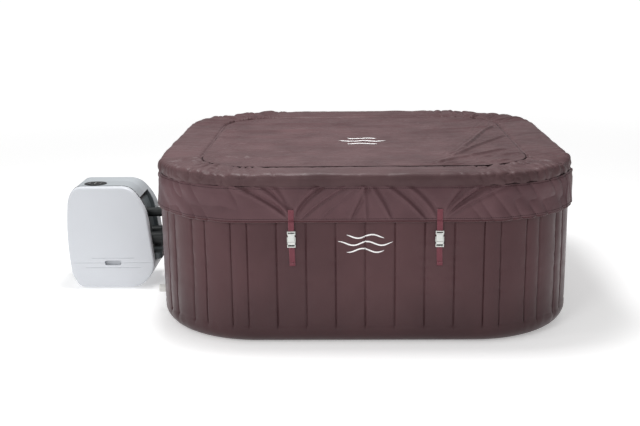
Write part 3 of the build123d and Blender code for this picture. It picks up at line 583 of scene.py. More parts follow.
# Each fold of a side: where it leaves the hem, where it meets the seam, its width, bow and height.
FOLDS = [
    (-0.345, -0.60, 0.017, 0.030, 0.0060),
    (-0.340, -0.50, 0.014, 0.030, 0.0085),
    (-0.335, -0.43, 0.012, 0.012, 0.0050),
    (-0.325, -0.20, 0.015, -0.030, 0.0090),
    (-0.300, -0.10, 0.012, -0.018, 0.0065),
    (-0.215, -0.03, 0.010, -0.010, 0.0040),
    (-0.075, -0.005, 0.013, 0.0, 0.0070),
    (0.005, 0.012, 0.009, 0.0, 0.0050),
    (0.115, 0.030, 0.012, 0.008, 0.0055),
    (0.270, 0.110, 0.014, 0.014, 0.0085),
    (0.320, 0.185, 0.015, 0.022, 0.0080),
    (0.335, 0.43, 0.013, -0.012, 0.0055),
    (0.345, 0.52, 0.016, -0.026, 0.0085),
    (0.350, 0.62, 0.018, -0.030, 0.0060),
]


def skirt_out(length, height):
    """How far the skirt stands proud of its plain surface."""
    share = np.clip((height - HEM) / (SEAM - HEM), 0, 1)
    x = side_place(length)
    side = np.floor(np.mod(length + QUARTER / 2, ROUND) / QUARTER)
    total = np.zeros(np.broadcast(length, height).shape)
    for number, (foot, top, width, bow, rise) in enumerate(FOLDS):
        shift = 0.025 * noise(number * 3.7, side * 5.1 + 0.5, 3)
        vary = 1 + 0.35 * noise(number * 2.3 + 9, side * 4.3 + 0.5, 4)
        total = total + FOLD_GAIN * rise * vary * fold(x, share, foot, top + shift, width, bow)
    corner = corner_share(length)
    cell = length / ROUND * SKIRT_GATHERS
    gathers = crease(cell + share * 1.6, share * 1.2, 6, SKIRT_GATHERS)
    total = total + 0.0125 * corner * (gathers - 0.55)
    total = total + 0.0022 * noise(cell * 0.5, share * 1.5, 7, SKIRT_GATHERS // 2)
    tie = np.zeros_like(total)
    for middle in STRAP_MIDDLES:
        tie = tie + bump(away_from(length, middle), 0, 0.05)
    low = 1 - smooth(share, 0.0, 0.35)
    under_strap = np.clip(tie, 0, 1) ** 4 * (1 - smooth(share, 0.25, 0.5))
    total = total * (1 - under_strap) - 0.003 * tie * low + 0.0025 * (1 - np.clip(tie, 0, 1)) * low
    joint = away_from(length, SKIRT_JOINT)
    return total - 0.006 * bump(joint, 0, 0.0035) + 0.0022 * bump(joint, 0.010, 0.005)


def band_out(length, share):
    """How far the band swells from its plain surface, from its seam (0) to the panel's groove (1)."""
    corner = corner_share(length)
    cell = length / ROUND * BAND_WAVES
    quarter_wrap = BAND_WAVES // 4
    tilt = 0.9 * noise(cell * 0.25, share * 2.2, 8, quarter_wrap)
    waves = crease(cell + tilt, share * 2.3, 9, BAND_WAVES)
    fine = crease(length / ROUND * 240 + share * 1.3, share * 4.1, 10, 240)
    belly = np.sin(math.pi * np.clip(share, 0, 1)) ** 0.7
    total = 0.0200 * (0.12 + 0.88 * corner) * (waves - 0.55) * (0.35 + 0.65 * belly)
    total = total + 0.0080 * corner * (fine - 0.5)
    total = total + 0.0020 * noise(cell * 0.5, share * 1.1, 12, BAND_WAVES // 2)
    sway = 0.6 * noise(cell * 0.25, share, 13, quarter_wrap)
    along = crease(cell * 0.25, share * 7 + sway, 14, quarter_wrap)
    total = total + 0.0040 * (1 - corner) * (along - 0.6) * belly
    pucker = 0.0035 * (0.25 + 0.75 * corner) * crease(length / ROUND * 250, 0.5, 16, 250)
    total = total + pucker * (bump(share, 0.93, 0.05) + 0.6 * bump(share, 0.06, 0.05))
    return total * smooth(share, -0.02, 0.08) * (1 - smooth(share, 0.94, 1.0))


def build_band():
    """The padded roll between the panel's groove and the skirt's seam."""
    seam_out = float(skirt_plain(SEAM)) - 0.001
    profile = [
        (PANEL_HALF - 0.004, PANEL_Z - 0.013),
        (PANEL_HALF + 0.007, PANEL_Z - 0.009),
        (PANEL_HALF + 0.016, PANEL_Z + 0.002),
        (PANEL_HALF + 0.050, PANEL_Z + 0.006),
        (COVER_OUT - 0.095, PANEL_Z + 0.009),
        (COVER_OUT - 0.040, PANEL_Z + 0.010),
        (COVER_OUT - 0.016, PANEL_Z + 0.003),
        (COVER_OUT - 0.008, PANEL_Z - 0.014),
        (COVER_OUT - 0.0085, SEAM + 0.014),
        (COVER_OUT - 0.0100, SEAM + 0.004),
        (seam_out, SEAM - 0.002),
    ]
    piece = swept("cover_roll", eased(profile[::-1]), band_out, 1500, 0.003)
    return dress(piece, COVER_CLOTH, "cover", "cover_fabric", "cover_band")


def skirt_plain(height):
    """The skirt's plain out distance at a height."""
    centre = COVER_TOP - BAND_ROUND
    over = np.clip((height - centre) / BAND_ROUND, 0, 1)
    return COVER_OUT - BAND_ROUND + BAND_ROUND * np.sqrt(1 - over**2)


def skirt_point(length, height, proud=0.0):
    """A point on the skirt, standing proud by a distance."""
    reach = skirt_plain(height) - 0.002 + skirt_out(length, height) + proud
    x, y, _, _ = outline(length + 0 * height, reach)
    return np.stack([x, y, height + 0 * x], axis=-1)


def build_skirt():
    """The skirt that hangs from the band's seam to the hem."""
    length = np.linspace(0, ROUND, 2000, endpoint=False)[:, None]
    height = np.linspace(HEM - 0.002, SEAM + 0.002, 46)[None, :]
    piece = grid_mesh("cover_skirt_cloth", skirt_point(length, height), closed_u=True)
    thicken(piece, CLOTH)
    return dress(piece, SKIRT_CLOTH, "cover", "cover_fabric", "cover_skirt")


def build_hem():
    """The folded binding tape along the skirt's lower edge."""
    length = np.linspace(0, ROUND, 1400, endpoint=False)
    path = skirt_point(length, np.full_like(length, HEM), -0.001)
    path[:, 2] = HEM - 0.002
    piece = grid_mesh("hem_tape", tube_grid(path, 0.0050, 8, 0.5), closed_u=True, closed_v=True)
    return dress(piece, BINDING, "cover", "binding", "hem_binding")


def pad_grid(half, count):
    """A grid over a rounded square: how far out each point is, from 0 to 1, and where it lies."""
    step = np.linspace(-1, 1, count)
    x, y = np.meshgrid(step, step, indexing="ij")
    reach = np.maximum(np.abs(x), np.abs(y))
    angle = np.arctan2(y, x)
    fourth = np.abs(np.mod(angle + math.pi / 4, math.pi / 2) - math.pi / 4)
    square = 1 / np.cos(fourth)
    radius = (half - STRAIGHT) / half
    flat = 1 - radius
    along = flat * (np.cos(fourth) + np.sin(fourth))
    rounded = along + np.sqrt(np.maximum(along**2 - (2 * flat**2 - radius**2), 0))
    bound = np.where(np.tan(fourth) < flat, square, rounded)
    scale = bound / square * half
    return reach, x * scale, y * scale


CREASE_GAIN = 1.35
CLOTH_FRAMES = 22
CLOTH_REACH = 0.014

# Long creases of the panel: start, end and height.
CREASES = [
    (-0.84, 0.30, -0.16, 0.31, 0.0060),
    (-0.76, -0.10, -0.08, -0.21, 0.0065),
    (-0.82, 0.58, 0.05, 0.52, 0.0055),
    (-0.84, 0.12, -0.22, 0.06, 0.0050),
    (-0.50, 0.46, 0.34, 0.40, 0.0045),
    (-0.70, -0.30, -0.30, -0.38, 0.0050),
    (0.29, -0.73, 0.78, -0.27, 0.0095),
    (0.38, -0.59, 0.86, 0.22, 0.0085),
    (0.48, -0.34, 0.84, 0.66, 0.0075),
    (0.56, -0.52, 0.86, -0.45, 0.0070),
    (0.30, -0.77, 0.76, -0.60, 0.0075),
    (0.08, -0.77, 0.58, -0.63, 0.0060),
    (0.46, 0.60, 0.82, 0.76, 0.0070),
    (0.30, 0.28, 0.80, 0.42, 0.0055),
    (-0.79, -0.47, -0.42, -0.57, 0.0065),
    (-0.64, -0.75, -0.36, -0.46, 0.0070),
    (-0.77, -0.62, -0.50, -0.50, 0.0060),
    (-0.42, -0.78, -0.18, -0.62, 0.0050),
]


def long_crease(x, y, start, end):
    """One ridge with a valley beside it, wandering a little and fading out at both ends."""
    along = np.array(end) - np.array(start)
    size = np.hypot(*along)
    along = along / size
    run = (x - start[0]) * along[0] + (y - start[1]) * along[1]
    away = (y - start[1]) * along[0] - (x - start[0]) * along[1]
    away = away - 0.016 * noise(run * 5, start[0] * 9 + 3, 27)
    offset = away / 0.013
    shape = np.exp(-(offset**2)) - 0.8 * np.exp(-((offset - 1.5) ** 2))
    return shape * smooth(run, 0, 0.15 * size) * (1 - smooth(run, 0.8 * size, size))


def panel_seed(x, y, reach):
    """Wrinkles the panel starts from: long and fine from left to right, fanned towards the right corners."""
    drift = 0.5 * noise(x * 1.7, y * 2.1, 20)
    rows = crease(x * 0.9 + drift, y * 13 + 0.8 * noise(x * 2.3, y * 3, 21), 22)
    right = smooth(x, -0.1, 0.75)
    fans = np.zeros_like(x)
    for corner_x, corner_y, seed in ((0.80, -0.80, 23), (0.80, 0.80, 24), (-0.80, -0.80, 25)):
        away = np.hypot(x - corner_x, y - corner_y)
        angle = np.arctan2(y - corner_y, x - corner_x)
        fan = crease(angle * 7.5, away * 1.2, seed)
        fans = fans + (fan - 0.5) * np.exp(-((away / 0.75) ** 2))
    total = 0.0105 * (rows - 0.5) * (1 - 0.6 * right) + 0.011 * fans
    for x_from, y_from, x_to, y_to, rise in CREASES:
        total = total + CREASE_GAIN * rise * long_crease(x, y, (x_from, y_from), (x_to, y_to))
    return total * (1 - smooth(reach, 0.93, 1.0))


def build_panel():
    """The panel over the lid: pinned at the groove, with a little spare cloth that creases."""
    reach, x, y = pad_grid(PANEL_HALF, 155)
    seed = panel_seed(x, y, reach)
    dome = 0.006 * (1 - reach**4)
    dip = -0.013 * smooth(reach, 0.958, 1.0) * (0.45 + 0.55 * smooth(-y, 0.55, 0.75))
    points = np.stack([x, y, PANEL_Z - 0.001 + dome + dip + seed], axis=-1)
    piece = grid_mesh("cover_panel_cloth", points)
    crumple(piece, reach.ravel())
    modifier(piece, "SUBSURF", levels=1, render_levels=1)
    thicken(piece, CLOTH)
    apply_modifiers(piece)
    return dress(piece, COVER_CLOTH, "cover", "cover_fabric", "cover_panel")


def crumple(piece, reach):
    """Cloth simulation: the pinned panel has spare length, which settles in creases on the lid."""
    start = np.array([vertex.co for vertex in piece.data.vertices])
    group = piece.vertex_groups.new(name="edge")
    group.add(np.nonzero(reach > 0.985)[0].tolist(), 1.0, "REPLACE")
    bed = raw_mesh("bed", [(-1, -1, 0), (1, -1, 0), (1, 1, 0), (-1, 1, 0)], [(0, 1, 2, 3)])
    bed.location.z = PANEL_Z - 0.012
    modifier(bed, "COLLISION")
    bed.collision.thickness_outer = 0.002
    cloth = modifier(piece, "CLOTH")
    settings = cloth.settings
    settings.vertex_group_mass = "edge"
    settings.quality = 5
    settings.mass = 0.25
    settings.bending_stiffness = 0.35
    settings.tension_stiffness = 18
    settings.compression_stiffness = 18
    settings.shear_stiffness = 8
    settings.shrink_min = -0.016
    settings.air_damping = 2
    cloth.collision_settings.distance_min = 0.002
    cloth.collision_settings.use_self_collision = False
    cloth.point_cache.frame_start = 1
    cloth.point_cache.frame_end = CLOTH_FRAMES
    for number in range(1, CLOTH_FRAMES + 1):
        bpy.context.scene.frame_set(number)
    apply_modifiers(piece)
    moved = np.array([vertex.co for vertex in piece.data.vertices])
    moved = start + np.clip(moved - start, -CLOTH_REACH, CLOTH_REACH)
    piece.data.vertices.foreach_set("co", moved.ravel())
    piece.data.update()
    bpy.context.scene.frame_set(1)
    bpy.data.objects.remove(bed)


def build_floor():
    """The soft padded floor of the tub, with rows of low pillows."""
    reach, x, y = pad_grid(INNER - 0.012, 181)
    pillows = np.abs(np.sin(x * math.pi / 0.09) * np.sin(y * math.pi / 0.09)) ** 0.6
    inside = 1 - smooth(reach, 0.80, 0.84)
    height = 0.0030 + 0.0045 * pillows * inside + 0.0010 * noise(x * 9, y * 9, 41)
    piece = grid_mesh("padded_floor", np.stack([x, y, height], axis=-1))
    thicken(piece, VINYL)
    dress(piece, LINER_VINYL, "tub", "liner_vinyl", "floor_sheet")


def duct_swell(length, share):
    """The air duct is full, with small gathers between its welds."""
    return 0.0016 * noise(length / ROUND * 128, share * 3, 42, 128) * np.sin(math.pi * share)


def build_lid():
    """The air-filled lid: a flat mattress with welded rows across it."""
    low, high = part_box("inflatable_lid")
    middle = (low.z + high.z) / 2
    reach, x, y = pad_grid(high.y - 0.001, 151)
    edge = np.sqrt(np.clip(1 - reach**14, 0, 1))
    rows = 1 - 0.20 * (1 - np.abs(np.sin(y * math.pi / 0.145)) ** 0.5) * (1 - smooth(reach, 0.86, 0.95))
    wrinkle = 0.0016 * noise(x * 22, y * 9, 43) * (1 - edge * 0.5)
    swell = ((high.z - low.z) / 2 - 0.002) * edge * rows + wrinkle * edge
    top = np.stack([x, y, middle + swell], axis=-1)
    under = np.stack([x, y, middle - swell], axis=-1)
    upper = grid_mesh("lid_mattress", top)
    lower = grid_mesh("lid_under", under[:, ::-1])
    joined = bmesh.new()
    joined.from_mesh(upper.data)
    joined.from_mesh(lower.data)
    bmesh.ops.remove_doubles(joined, verts=joined.verts, dist=0.0004)
    joined.to_mesh(upper.data)
    joined.free()
    bpy.data.objects.remove(lower)
    dress(upper, LID_VINYL, "cover", "lid_vinyl", "inflatable_lid")


def build_pocket():
    """The cloth pocket under the cover that holds the lid, sagging a little between its edges."""
    low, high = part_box("lid_pocket")
    reach, x, y = pad_grid(high.y, 151)
    turn = smooth(reach, 0.975, 1.0)
    sag = 0.0020 * noise(x * 5, y * 5, 44) + 0.0014 * crease(x * 3, y * 14, 45)
    height = low.z + 0.0032 + sag * (1 - turn) + (high.z - low.z - 0.004) * turn
    piece = grid_mesh("lid_pocket_cloth", np.stack([x, y, height], axis=-1)[:, ::-1])
    thicken(piece, 0.0015)
    return dress(piece, SKIRT_CLOTH, "cover", "cover_fabric", "lid_pocket")


build_floor()
DUCT_LOW, DUCT_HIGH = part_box("bubble_duct")
DUCT_OUT = DUCT_HIGH.y - 0.001
DUCT_IN = DUCT_OUT - 0.080
DUCT_TOP = DUCT_HIGH.z - 0.001
DUCT_FOOT = DUCT_LOW.z + 0.010
duct_profile = [(DUCT_OUT, DUCT_FOOT), (DUCT_OUT, DUCT_TOP), (DUCT_IN, DUCT_TOP), (DUCT_IN, DUCT_FOOT)]
duct = swept("air_duct", eased(duct_profile), duct_swell, 640)
dress(duct, LINER_VINYL, "tub", "liner_vinyl", "bubble_duct")
build_lid()
pocket = build_pocket()
panel = build_panel()
band = build_band()
skirt = build_skirt()
hem = build_hem()

STITCH_PITCH = 0.008
STITCH_SIZE = 0.0009


def stitch_line(name, height):
    """A closed row of small raised stitches round the skirt at a height."""
    count = int(ROUND / STITCH_PITCH)
    starts = np.arange(count) * (ROUND / count)
    near = skirt_point(starts, np.full(count, height), 0.0002)
    far = skirt_point(starts + 0.62 * STITCH_PITCH, np.full(count, height), 0.0002)
    parts = []
    faces = [(0, 1, 2, 3), (4, 7, 6, 5), (0, 4, 5, 1), (1, 5, 6, 2), (2, 6, 7, 3), (3, 7, 4, 0)]
    for a, b in zip(near, far):
        along = Vector(b - a).normalized()
        out = Vector((a[0], a[1], 0)).normalized()
        side = along.cross(out).normalized() * STITCH_SIZE
        lift = out * STITCH_SIZE * 0.8
        corners = []
        for point in (Vector(a), Vector(b)):
            top = point + lift * 1.2
            corners.extend([point - side, top - side * 0.3, top + side * 0.3, point + side])
        parts.append((corners, faces))
    dress(join_meshes(name, parts), THREAD_AND_SHADE, "cover", "cover_fabric")


stitch_line("hem_stitches", HEM + 0.010)
stitch_line("seam_stitches", SEAM - 0.009)


def build_piping_and_shade(name, out, height, radius, wobble, sink, hide):
    """A thin sewn line round the cover that dips in and out of the cloth, and hides along the sides; its
    near-black colour also paints the shade in the groove and under the roll.
    """
    length = np.linspace(0, ROUND, 1500, endpoint=False)
    drift = wobble * noise(length / ROUND * 150, 0.5, 31, 150)
    corner = corner_share(length)
    x, y, _, _ = outline(length, out + drift * (0.3 + corner) - hide * (1 - corner))
    z = height + 0.6 * drift * (0.4 + corner) - sink * smooth(y, -0.75, -0.45)
    path = np.stack([x, y, z], axis=-1)
    piece = grid_mesh(name, tube_grid(path, radius), closed_u=True, closed_v=True)
    dress(piece, THREAD_AND_SHADE, "cover", "cover_fabric")


# Both lines are partly real seams and partly painted shade: the groove's shadow line, and the shade under the
# roll at the corners.
build_piping_and_shade("groove_piping_and_shade", PANEL_HALF - 0.002, PANEL_Z - 0.0030, 0.0042, 0.0036, 0.008, 0.0)
build_piping_and_shade("seam_piping_and_shade", COVER_OUT - 0.0112, SEAM + 0.001, 0.0022, 0.0044, 0.0, 0.006)


# ==== straps ====
def turned(points, side):
    """Points of the front side turned to one of the four sides."""
    angle = side * math.pi / 2
    cos, sin = math.cos(angle), math.sin(angle)
    return points @ np.array([[cos, -sin, 0], [sin, cos, 0], [0, 0, 1]]).T


def strap_grid(x_middle, outs, heights, lean=0.0):
    """A flat tape along heights, standing out from the front, as a closed tube grid."""
    slide = x_middle + lean * (heights - heights[0])
    tangent = np.gradient(np.stack([outs, heights], axis=1), axis=0)
    tangent /= np.linalg.norm(tangent, axis=1, keepdims=True)
    normal_out = tangent[:, 1]
    normal_up = -tangent[:, 0]
    section = []
    for face in (1, -1):
        for across in np.linspace(-face, face, 9):
            depth = face * STRAP_THICKNESS / 2 * (1 - 0.5 * abs(across) ** 6)
            section.append((across * STRAP_WIDTH / 2, depth))
    points = np.zeros((len(heights), len(section), 3))
    for number, (across, depth) in enumerate(section):
        points[:, number, 0] = slide + across
        points[:, number, 1] = -(outs + depth * normal_out)
        points[:, number, 2] = heights + depth * normal_up
    return points


def grid_part(points):
    """Points and faces of a tube grid with its two ends closed."""
    rows, columns = points.shape[:2]
    index = np.arange(rows * columns).reshape(rows, columns)
    faces = []
    for here, ahead in zip(index[:-1], index[1:]):
        for column in range(columns):
            after = (column + 1) % columns
            faces.append((here[column], ahead[column], ahead[after], here[after]))
    faces.append(tuple(index[0, ::-1]))
    faces.append(tuple(index[-1]))
    return points.reshape(-1, 3).tolist(), [tuple(int(i) for i in face) for face in faces]


def build_straps():
    """Eight upper straps sewn to the skirt, and eight lower ones welded to the wall."""
    upper = []
    lower = []
    for side in range(4):
        for number, x in enumerate((-STRAP_X, STRAP_X)):
            length = side * QUARTER + x
            heights = np.linspace(STRAP_TOP, STRAP_END, 40)
            across = np.linspace(-0.5, 0.5, 7)[:, None] * STRAP_WIDTH
            on_skirt = skirt_point(length + across, np.maximum(heights, HEM)[None, :])
            outs = np.abs(turned(on_skirt, -side)[:, :, 1]).max(axis=0) + 0.0016
            outs = np.where(heights < HEM, outs.max(), outs)
            buckle_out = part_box("female_buckles")[1].y - 0.0035
            fall = np.clip((HEM - heights) / (HEM - STRAP_END), 0, 1)
            outs = outs * (1 - fall) + buckle_out * fall
            upper.append(grid_part(turned(strap_grid(x, outs, heights), side)))
            tail = np.linspace(TAIL_HIGH, TAIL_LOW, 24)
            lean = 0.03 if (side, number) == (0, 0) else 0.02 * math.sin(3.1 * length)
            tail_outs = np.full(24, HALF + 0.0026) + 0.0022 * smooth(TAIL_HIGH - tail, 0.06, 0.11)
            lower.append(grid_part(turned(strap_grid(x, tail_outs, tail, -lean), side)))
            fold_over = np.linspace(TAIL_LOW + 0.016, TAIL_LOW + 0.001, 6)
            slide = x - lean * (fold_over[0] - TAIL_HIGH)
            grid = strap_grid(slide, np.full(6, HALF + 0.0068), fold_over, -lean)
            lower.append(grid_part(turned(grid, side)))
    for name, parts, body, node in (
        ("upper_strap_tapes", upper, "cover", "upper_straps"),
        ("lower_strap_tapes", lower, "tub", "lower_straps"),
    ):
        dress(join_meshes(name, parts), STRAP_TAPE, body, "webbing", node)


build_straps()


def box_part(low, high):
    """Points and faces of a box."""
    points = [(x, y, z) for x in (low[0], high[0]) for y in (low[1], high[1]) for z in (low[2], high[2])]
    faces = [(0, 1, 3, 2), (4, 6, 7, 5), (0, 4, 5, 1), (2, 3, 7, 6), (0, 2, 6, 4), (1, 5, 7, 3)]
    return points, faces


BUCKLE_WIDE = 0.0186
BUCKLE_WAIST = 0.0150
BUCKLE_BAR = 0.0034
BUCKLE_FACE = -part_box("female_buckles")[1].y
BUCKLE_BACK = -(HALF + 0.0057)


def slab(left, right, low, high, sunk=0.0):
    """A box of a buckle from its back to its face, or to a distance behind the face."""
    return box_part((left, BUCKLE_FACE + sunk, low), (right, BUCKLE_BACK, high))


def side_bars(low, high, sunk=0.0):
    """The two bars along a buckle's frame."""
    inside = BUCKLE_WIDE - BUCKLE_BAR
    return [slab(-BUCKLE_WIDE, -inside, low, high, sunk), slab(inside, BUCKLE_WIDE, low, high, sunk)]


def build_buckles():
    """Side-release buckles: a framed socket on the cover's strap, a pronged plug on the wall's, with dark
    plates behind their slots as painted shade.
    """
    mouth, head = (corner.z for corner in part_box("female_buckles"))
    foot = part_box("male_buckles")[0].z
    wide, waist, face, back = BUCKLE_WIDE, BUCKLE_WAIST, BUCKLE_FACE, BUCKLE_BACK
    tongue = waist - 0.004
    slot = wide - 0.003
    socket = side_bars(head - 0.0135, head - 0.003) + [
        slab(-wide, wide, head - 0.0042, head),
        slab(-waist, waist, mouth, head - 0.0105),
        slab(-wide, wide, head - 0.0175, head - 0.0110, 0.0014),
        box_part((-tongue, face - 0.0008, mouth + 0.004), (tongue, face + 0.002, head - 0.0150)),
        slab(-wide, wide, mouth, mouth + 0.0040, 0.0006),
    ]
    plug = side_bars(foot + 0.003, mouth - 0.0012, 0.0004) + [
        slab(-wide, wide, foot, foot + 0.0046, 0.0004),
        slab(-wide, wide, foot + 0.0125, mouth - 0.0010, 0.0004),
        slab(-wide - 0.0006, -waist - 0.0006, mouth - 0.002, mouth + 0.022, 0.002),
        slab(waist + 0.0006, wide + 0.0006, mouth - 0.002, mouth + 0.022, 0.002),
    ]
    # Dark plates at the back of the slots paint the shade seen through the buckles' openings.
    socket_slot = [box_part((-slot, back + 0.0006, head - 0.0120), (slot, back, head - 0.002))]
    plug_slot = [box_part((-slot, back + 0.0006, foot + 0.003), (slot, back, foot + 0.0135))]
    for name, parts, bevel, finish, body, slot_name, nodes in (
        ("buckle_sockets", socket, 0.0011, BUCKLE, "cover", "buckle_plastic", ["female_buckles"]),
        ("buckle_plugs", plug, 0.0011, BUCKLE, "tub", "buckle_plastic", ["male_buckles"]),
        ("buckle_slot_shades", socket_slot, 0.0002, DARK, "cover", "dark_plastic", []),
        ("plug_slot_shades", plug_slot, 0.0002, DARK, "tub", "dark_plastic", []),
    ):
        placed = []
        for side in range(4):
            for x in (-STRAP_X, STRAP_X):
                for points, faces in parts:
                    placed.append((turned(np.array(points) + np.array([x, 0, 0]), side).tolist(), faces))
        piece = join_meshes(name, placed)
        piece.data.polygons.foreach_set("use_smooth", [False] * len(piece.data.polygons))
        modifier(piece, "BEVEL", width=bevel, segments=2, limit_method="ANGLE")
        dress(piece, finish, body, slot_name, *nodes)


build_buckles()


def shell_rim(node, depth, reach):
    """The outer outline of a shell near a depth in Y, as points in order."""
    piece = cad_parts[node]
    points = np.array([piece.matrix_world @ vertex.co for vertex in piece.data.vertices])
    near = points[np.abs(points[:, 1] - depth) < reach]
    hull = bmesh.new()
    for x, z in near[:, [0, 2]]:
        hull.verts.new((x, 0, z))
    bmesh.ops.remove_doubles(hull, verts=hull.verts, dist=0.0005)
    middle = near[:, [0, 2]].mean(axis=0)
    corners = np.array([(vertex.co.x, vertex.co.z) for vertex in hull.verts])
    hull.free()
    angle = np.arctan2(corners[:, 1] - middle[1], corners[:, 0] - middle[0])
    distance = np.hypot(*(corners - middle).T)
    bins = np.linspace(-math.pi, math.pi, 241)
    rim = []
    for low, high in zip(bins[:-1], bins[1:]):
        inside = (angle >= low) & (angle < high)
        if inside.any():
            far = np.argmax(np.where(inside, distance, 0))
            rim.append(corners[far])
    return np.array(rim)


def build_front_gap_shade():
    """A dark strip in the gap between the base's front plate and the shells behind it, painted as the gap's
    shade.
    """
    low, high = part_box("pump_front_shell")
    rim = shell_rim("pump_front_shell", high.y, 0.0015)
    rim = rim[rim[:, 1] > low.z + 0.002]
    path = np.stack([rim[:, 0], np.full(len(rim), high.y), rim[:, 1]], axis=-1)
    centre = path.mean(axis=0)
    path = path[np.argsort(np.arctan2(path[:, 0] - centre[0], path[:, 2] - centre[2]))]
    inward = (centre - path) / np.linalg.norm(centre - path, axis=1, keepdims=True)
    inner = path + inward * 0.0012
    outer = path - inward * 0.0016
    depth = np.array([0, 0.0030, 0])
    points = np.stack([outer - depth, outer + depth, inner + depth, inner - depth], axis=1)
    # The dark plastic here paints the shade inside the gap.
    dress(join_meshes("front_plate_gap_shade", [grid_part(points)]), DARK, "tub", "dark_plastic")


build_front_gap_shade()


# ==== generic printed marks: three waves, with no lettering ====
MARK_WAVE = 0.0205
KEY_RING = 0.0034
UP = (0.0, 0.0, 1.0)


def ribbon(points, outward, width):
    """A flat printed line along points, with its outward directions."""
    points = np.asarray(points)
    along = np.gradient(points, axis=0)
    along /= np.linalg.norm(along, axis=1, keepdims=True)
    side = np.cross(along, outward)
    side /= np.linalg.norm(side, axis=1, keepdims=True)
    taper = np.sqrt(np.clip(np.sin(np.linspace(0, math.pi, len(points))) * 2.2, 0.05, 1))[:, None]
    left = points + side * width / 2 * taper
    right = points - side * width / 2 * taper
    merged = np.stack([left, right], axis=1)
    rows = len(points)
    index = np.arange(rows * 2).reshape(rows, 2)
    faces = [(index[i, 0], index[i + 1, 0], index[i + 1, 1], index[i, 1]) for i in range(rows - 1)]
    return merged.reshape(-1, 3).tolist(), [tuple(int(i) for i in face) for face in faces]


def wave_mark(rows, rise, count, width, surface_points, outward):
    """Three waves, each given by its half width and place, laid on a surface."""
    parts = []
    for row, (half_width, place) in enumerate(rows):
        x = np.linspace(-half_width, half_width, count)
        across = place + rise * np.sin(x / MARK_WAVE + 1.1 * row)
        parts.append(ribbon(surface_points(x, across), np.tile(outward, (count, 1)), width))
    return parts


def on_wall(x, z):
    """Points just proud of the wall's front."""
    return wall_point(np.mod(x, ROUND), z, 0.0007)


def build_wall_mark():
    """Three waves printed on the front of the wall, the middle one longest."""
    rows = ((0.085, 0.521), (0.125, 0.488), (0.085, 0.455))
    parts = wave_mark(rows, 0.0085, 140, 0.0062, on_wall, (0.0, -1.0, 0.0))
    dress(join_meshes("wall_mark", parts), PRINT, "tub", "white_plastic")


def on_panel(x, y):
    """Points just above the cover's panel."""
    surface = BVHTree.FromObject(panel, bpy.context.evaluated_depsgraph_get())
    heights = [surface.ray_cast(Vector((px, py, 1.2)), Vector((0, 0, -1)))[0].z for px, py in zip(x, y)]
    return np.stack([x, y, np.array(heights) + 0.0016], axis=-1)


def build_panel_mark():
    """The same waves, smaller, printed on the middle of the cover's panel."""
    rows = ((0.078, 0.022), (0.125, -0.058), (0.078, -0.138))
    parts = wave_mark(rows, 0.012, 120, 0.0165, on_panel, UP)
    dress(join_meshes("panel_mark", parts), PRINT, "cover", "white_plastic")


def build_key_symbols():
    """A small pale ring on each key, with no lettering."""
    turn = np.linspace(0, 2 * math.pi, 25)
    for name in KEY_NODES:
        low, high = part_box(name)
        middle = (low + high) / 2
        x = middle.x + KEY_RING * np.cos(turn)
        y = middle.y + KEY_RING * np.sin(turn)
        ring = np.stack([x, y, np.full(len(turn), high.z + 0.0002)], axis=-1)
        piece = join_meshes(f"{name}_symbol", [ribbon(ring, np.tile(UP, (len(turn), 1)), 0.0012)])
        dress(piece, PRINT, name, "white_plastic")


build_wall_mark()
build_panel_mark()
build_key_symbols()


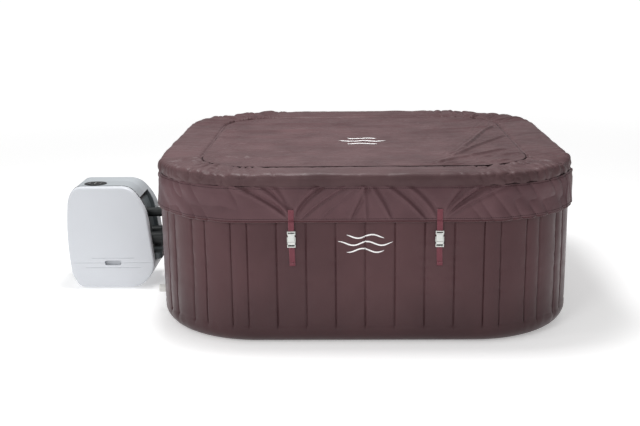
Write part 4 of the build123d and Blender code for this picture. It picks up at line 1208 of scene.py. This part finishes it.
# ==== stage, light and camera ====
def build_stage():
    """A plain pale floor that looks white far from the tub."""
    size = 70
    corners = [(-size, -size, 0), (size, -size, 0), (size, size, 0), (-size, size, 0)]
    floor = raw_mesh("floor", corners, [(0, 1, 2, 3)])
    pale = Finish("floor_paint", 0.7, 0.2)
    pale.set("Base Color", (0.93, 0.93, 0.93, 1))
    pale.set("Emission Color", (1, 1, 1, 1))
    away = pale.node("ShaderNodeVectorMath", {0: pale.place}, operation="LENGTH").outputs["Value"]
    seen = pale.node("ShaderNodeLightPath", {}).outputs["Is Camera Ray"]
    glow = pale.maths("MULTIPLY", pale.remap(away, 3.0, 9.0, 0.0, 0.29), seen)
    pale.set("Emission Strength", pale.maths("ADD", glow, 0.35))
    paint(floor, pale.material)


def soft_light(name, place, aim, size, power):
    """A large square area light aimed at a point."""
    data = bpy.data.lights.new(name, "AREA")
    data.shape = "RECTANGLE"
    data.size, data.size_y = size
    data.energy = power
    lamp = bpy.data.objects.new(name, data)
    bpy.context.scene.collection.objects.link(lamp)
    lamp.location = place
    lamp.rotation_euler = (Vector(aim) - Vector(place)).to_track_quat("-Z", "Y").to_euler()


def build_light():
    """Bright even surroundings, a soft key from above the front and a weak fill."""
    world = bpy.data.worlds.new("studio")
    world.use_nodes = True
    world.node_tree.nodes["Background"].inputs["Color"].default_value = (1, 1, 1, 1)
    world.node_tree.nodes["Background"].inputs["Strength"].default_value = 0.46
    bpy.context.scene.world = world
    soft_light("overhead", (-0.5, -0.1, 3.5), (-0.1, 0, 0.5), (1.6, 1.2), 112)
    soft_light("front", (-1.9, -4.8, 3.0), (0.1, -0.4, 0.4), (1.4, 0.9), 50)
    soft_light("left", (-4.6, -2.6, 1.7), (0, -0.6, 0.4), (0.6, 1.6), 28)


def build_camera():
    """The camera, at a standing person's view of the front, a little to the left of its middle."""
    heading = math.radians(1.53)
    pitch = math.radians(13.65)
    roll = math.radians(0.69)
    ahead = Vector((-math.sin(heading), math.cos(heading), 0))
    forward = ahead * math.cos(pitch) + Vector((0, 0, -math.sin(pitch)))
    level = Vector((math.cos(heading), math.sin(heading), 0))
    above = level.cross(forward)
    right = level * math.cos(roll) - above * math.sin(roll)
    up = above * math.cos(roll) + level * math.sin(roll)
    data = bpy.data.cameras.new("camera")
    data.lens = 57.8
    data.sensor_width = 36
    camera = bpy.data.objects.new("camera", data)
    bpy.context.scene.collection.objects.link(camera)
    turn = Matrix((right, up, -forward)).transposed().to_4x4()
    camera.matrix_world = Matrix.Translation((-0.084, -5.5, 1.723)) @ turn
    bpy.context.scene.camera = camera


build_stage()
build_light()
build_camera()
bpy.context.scene.view_settings.view_transform = "Standard"
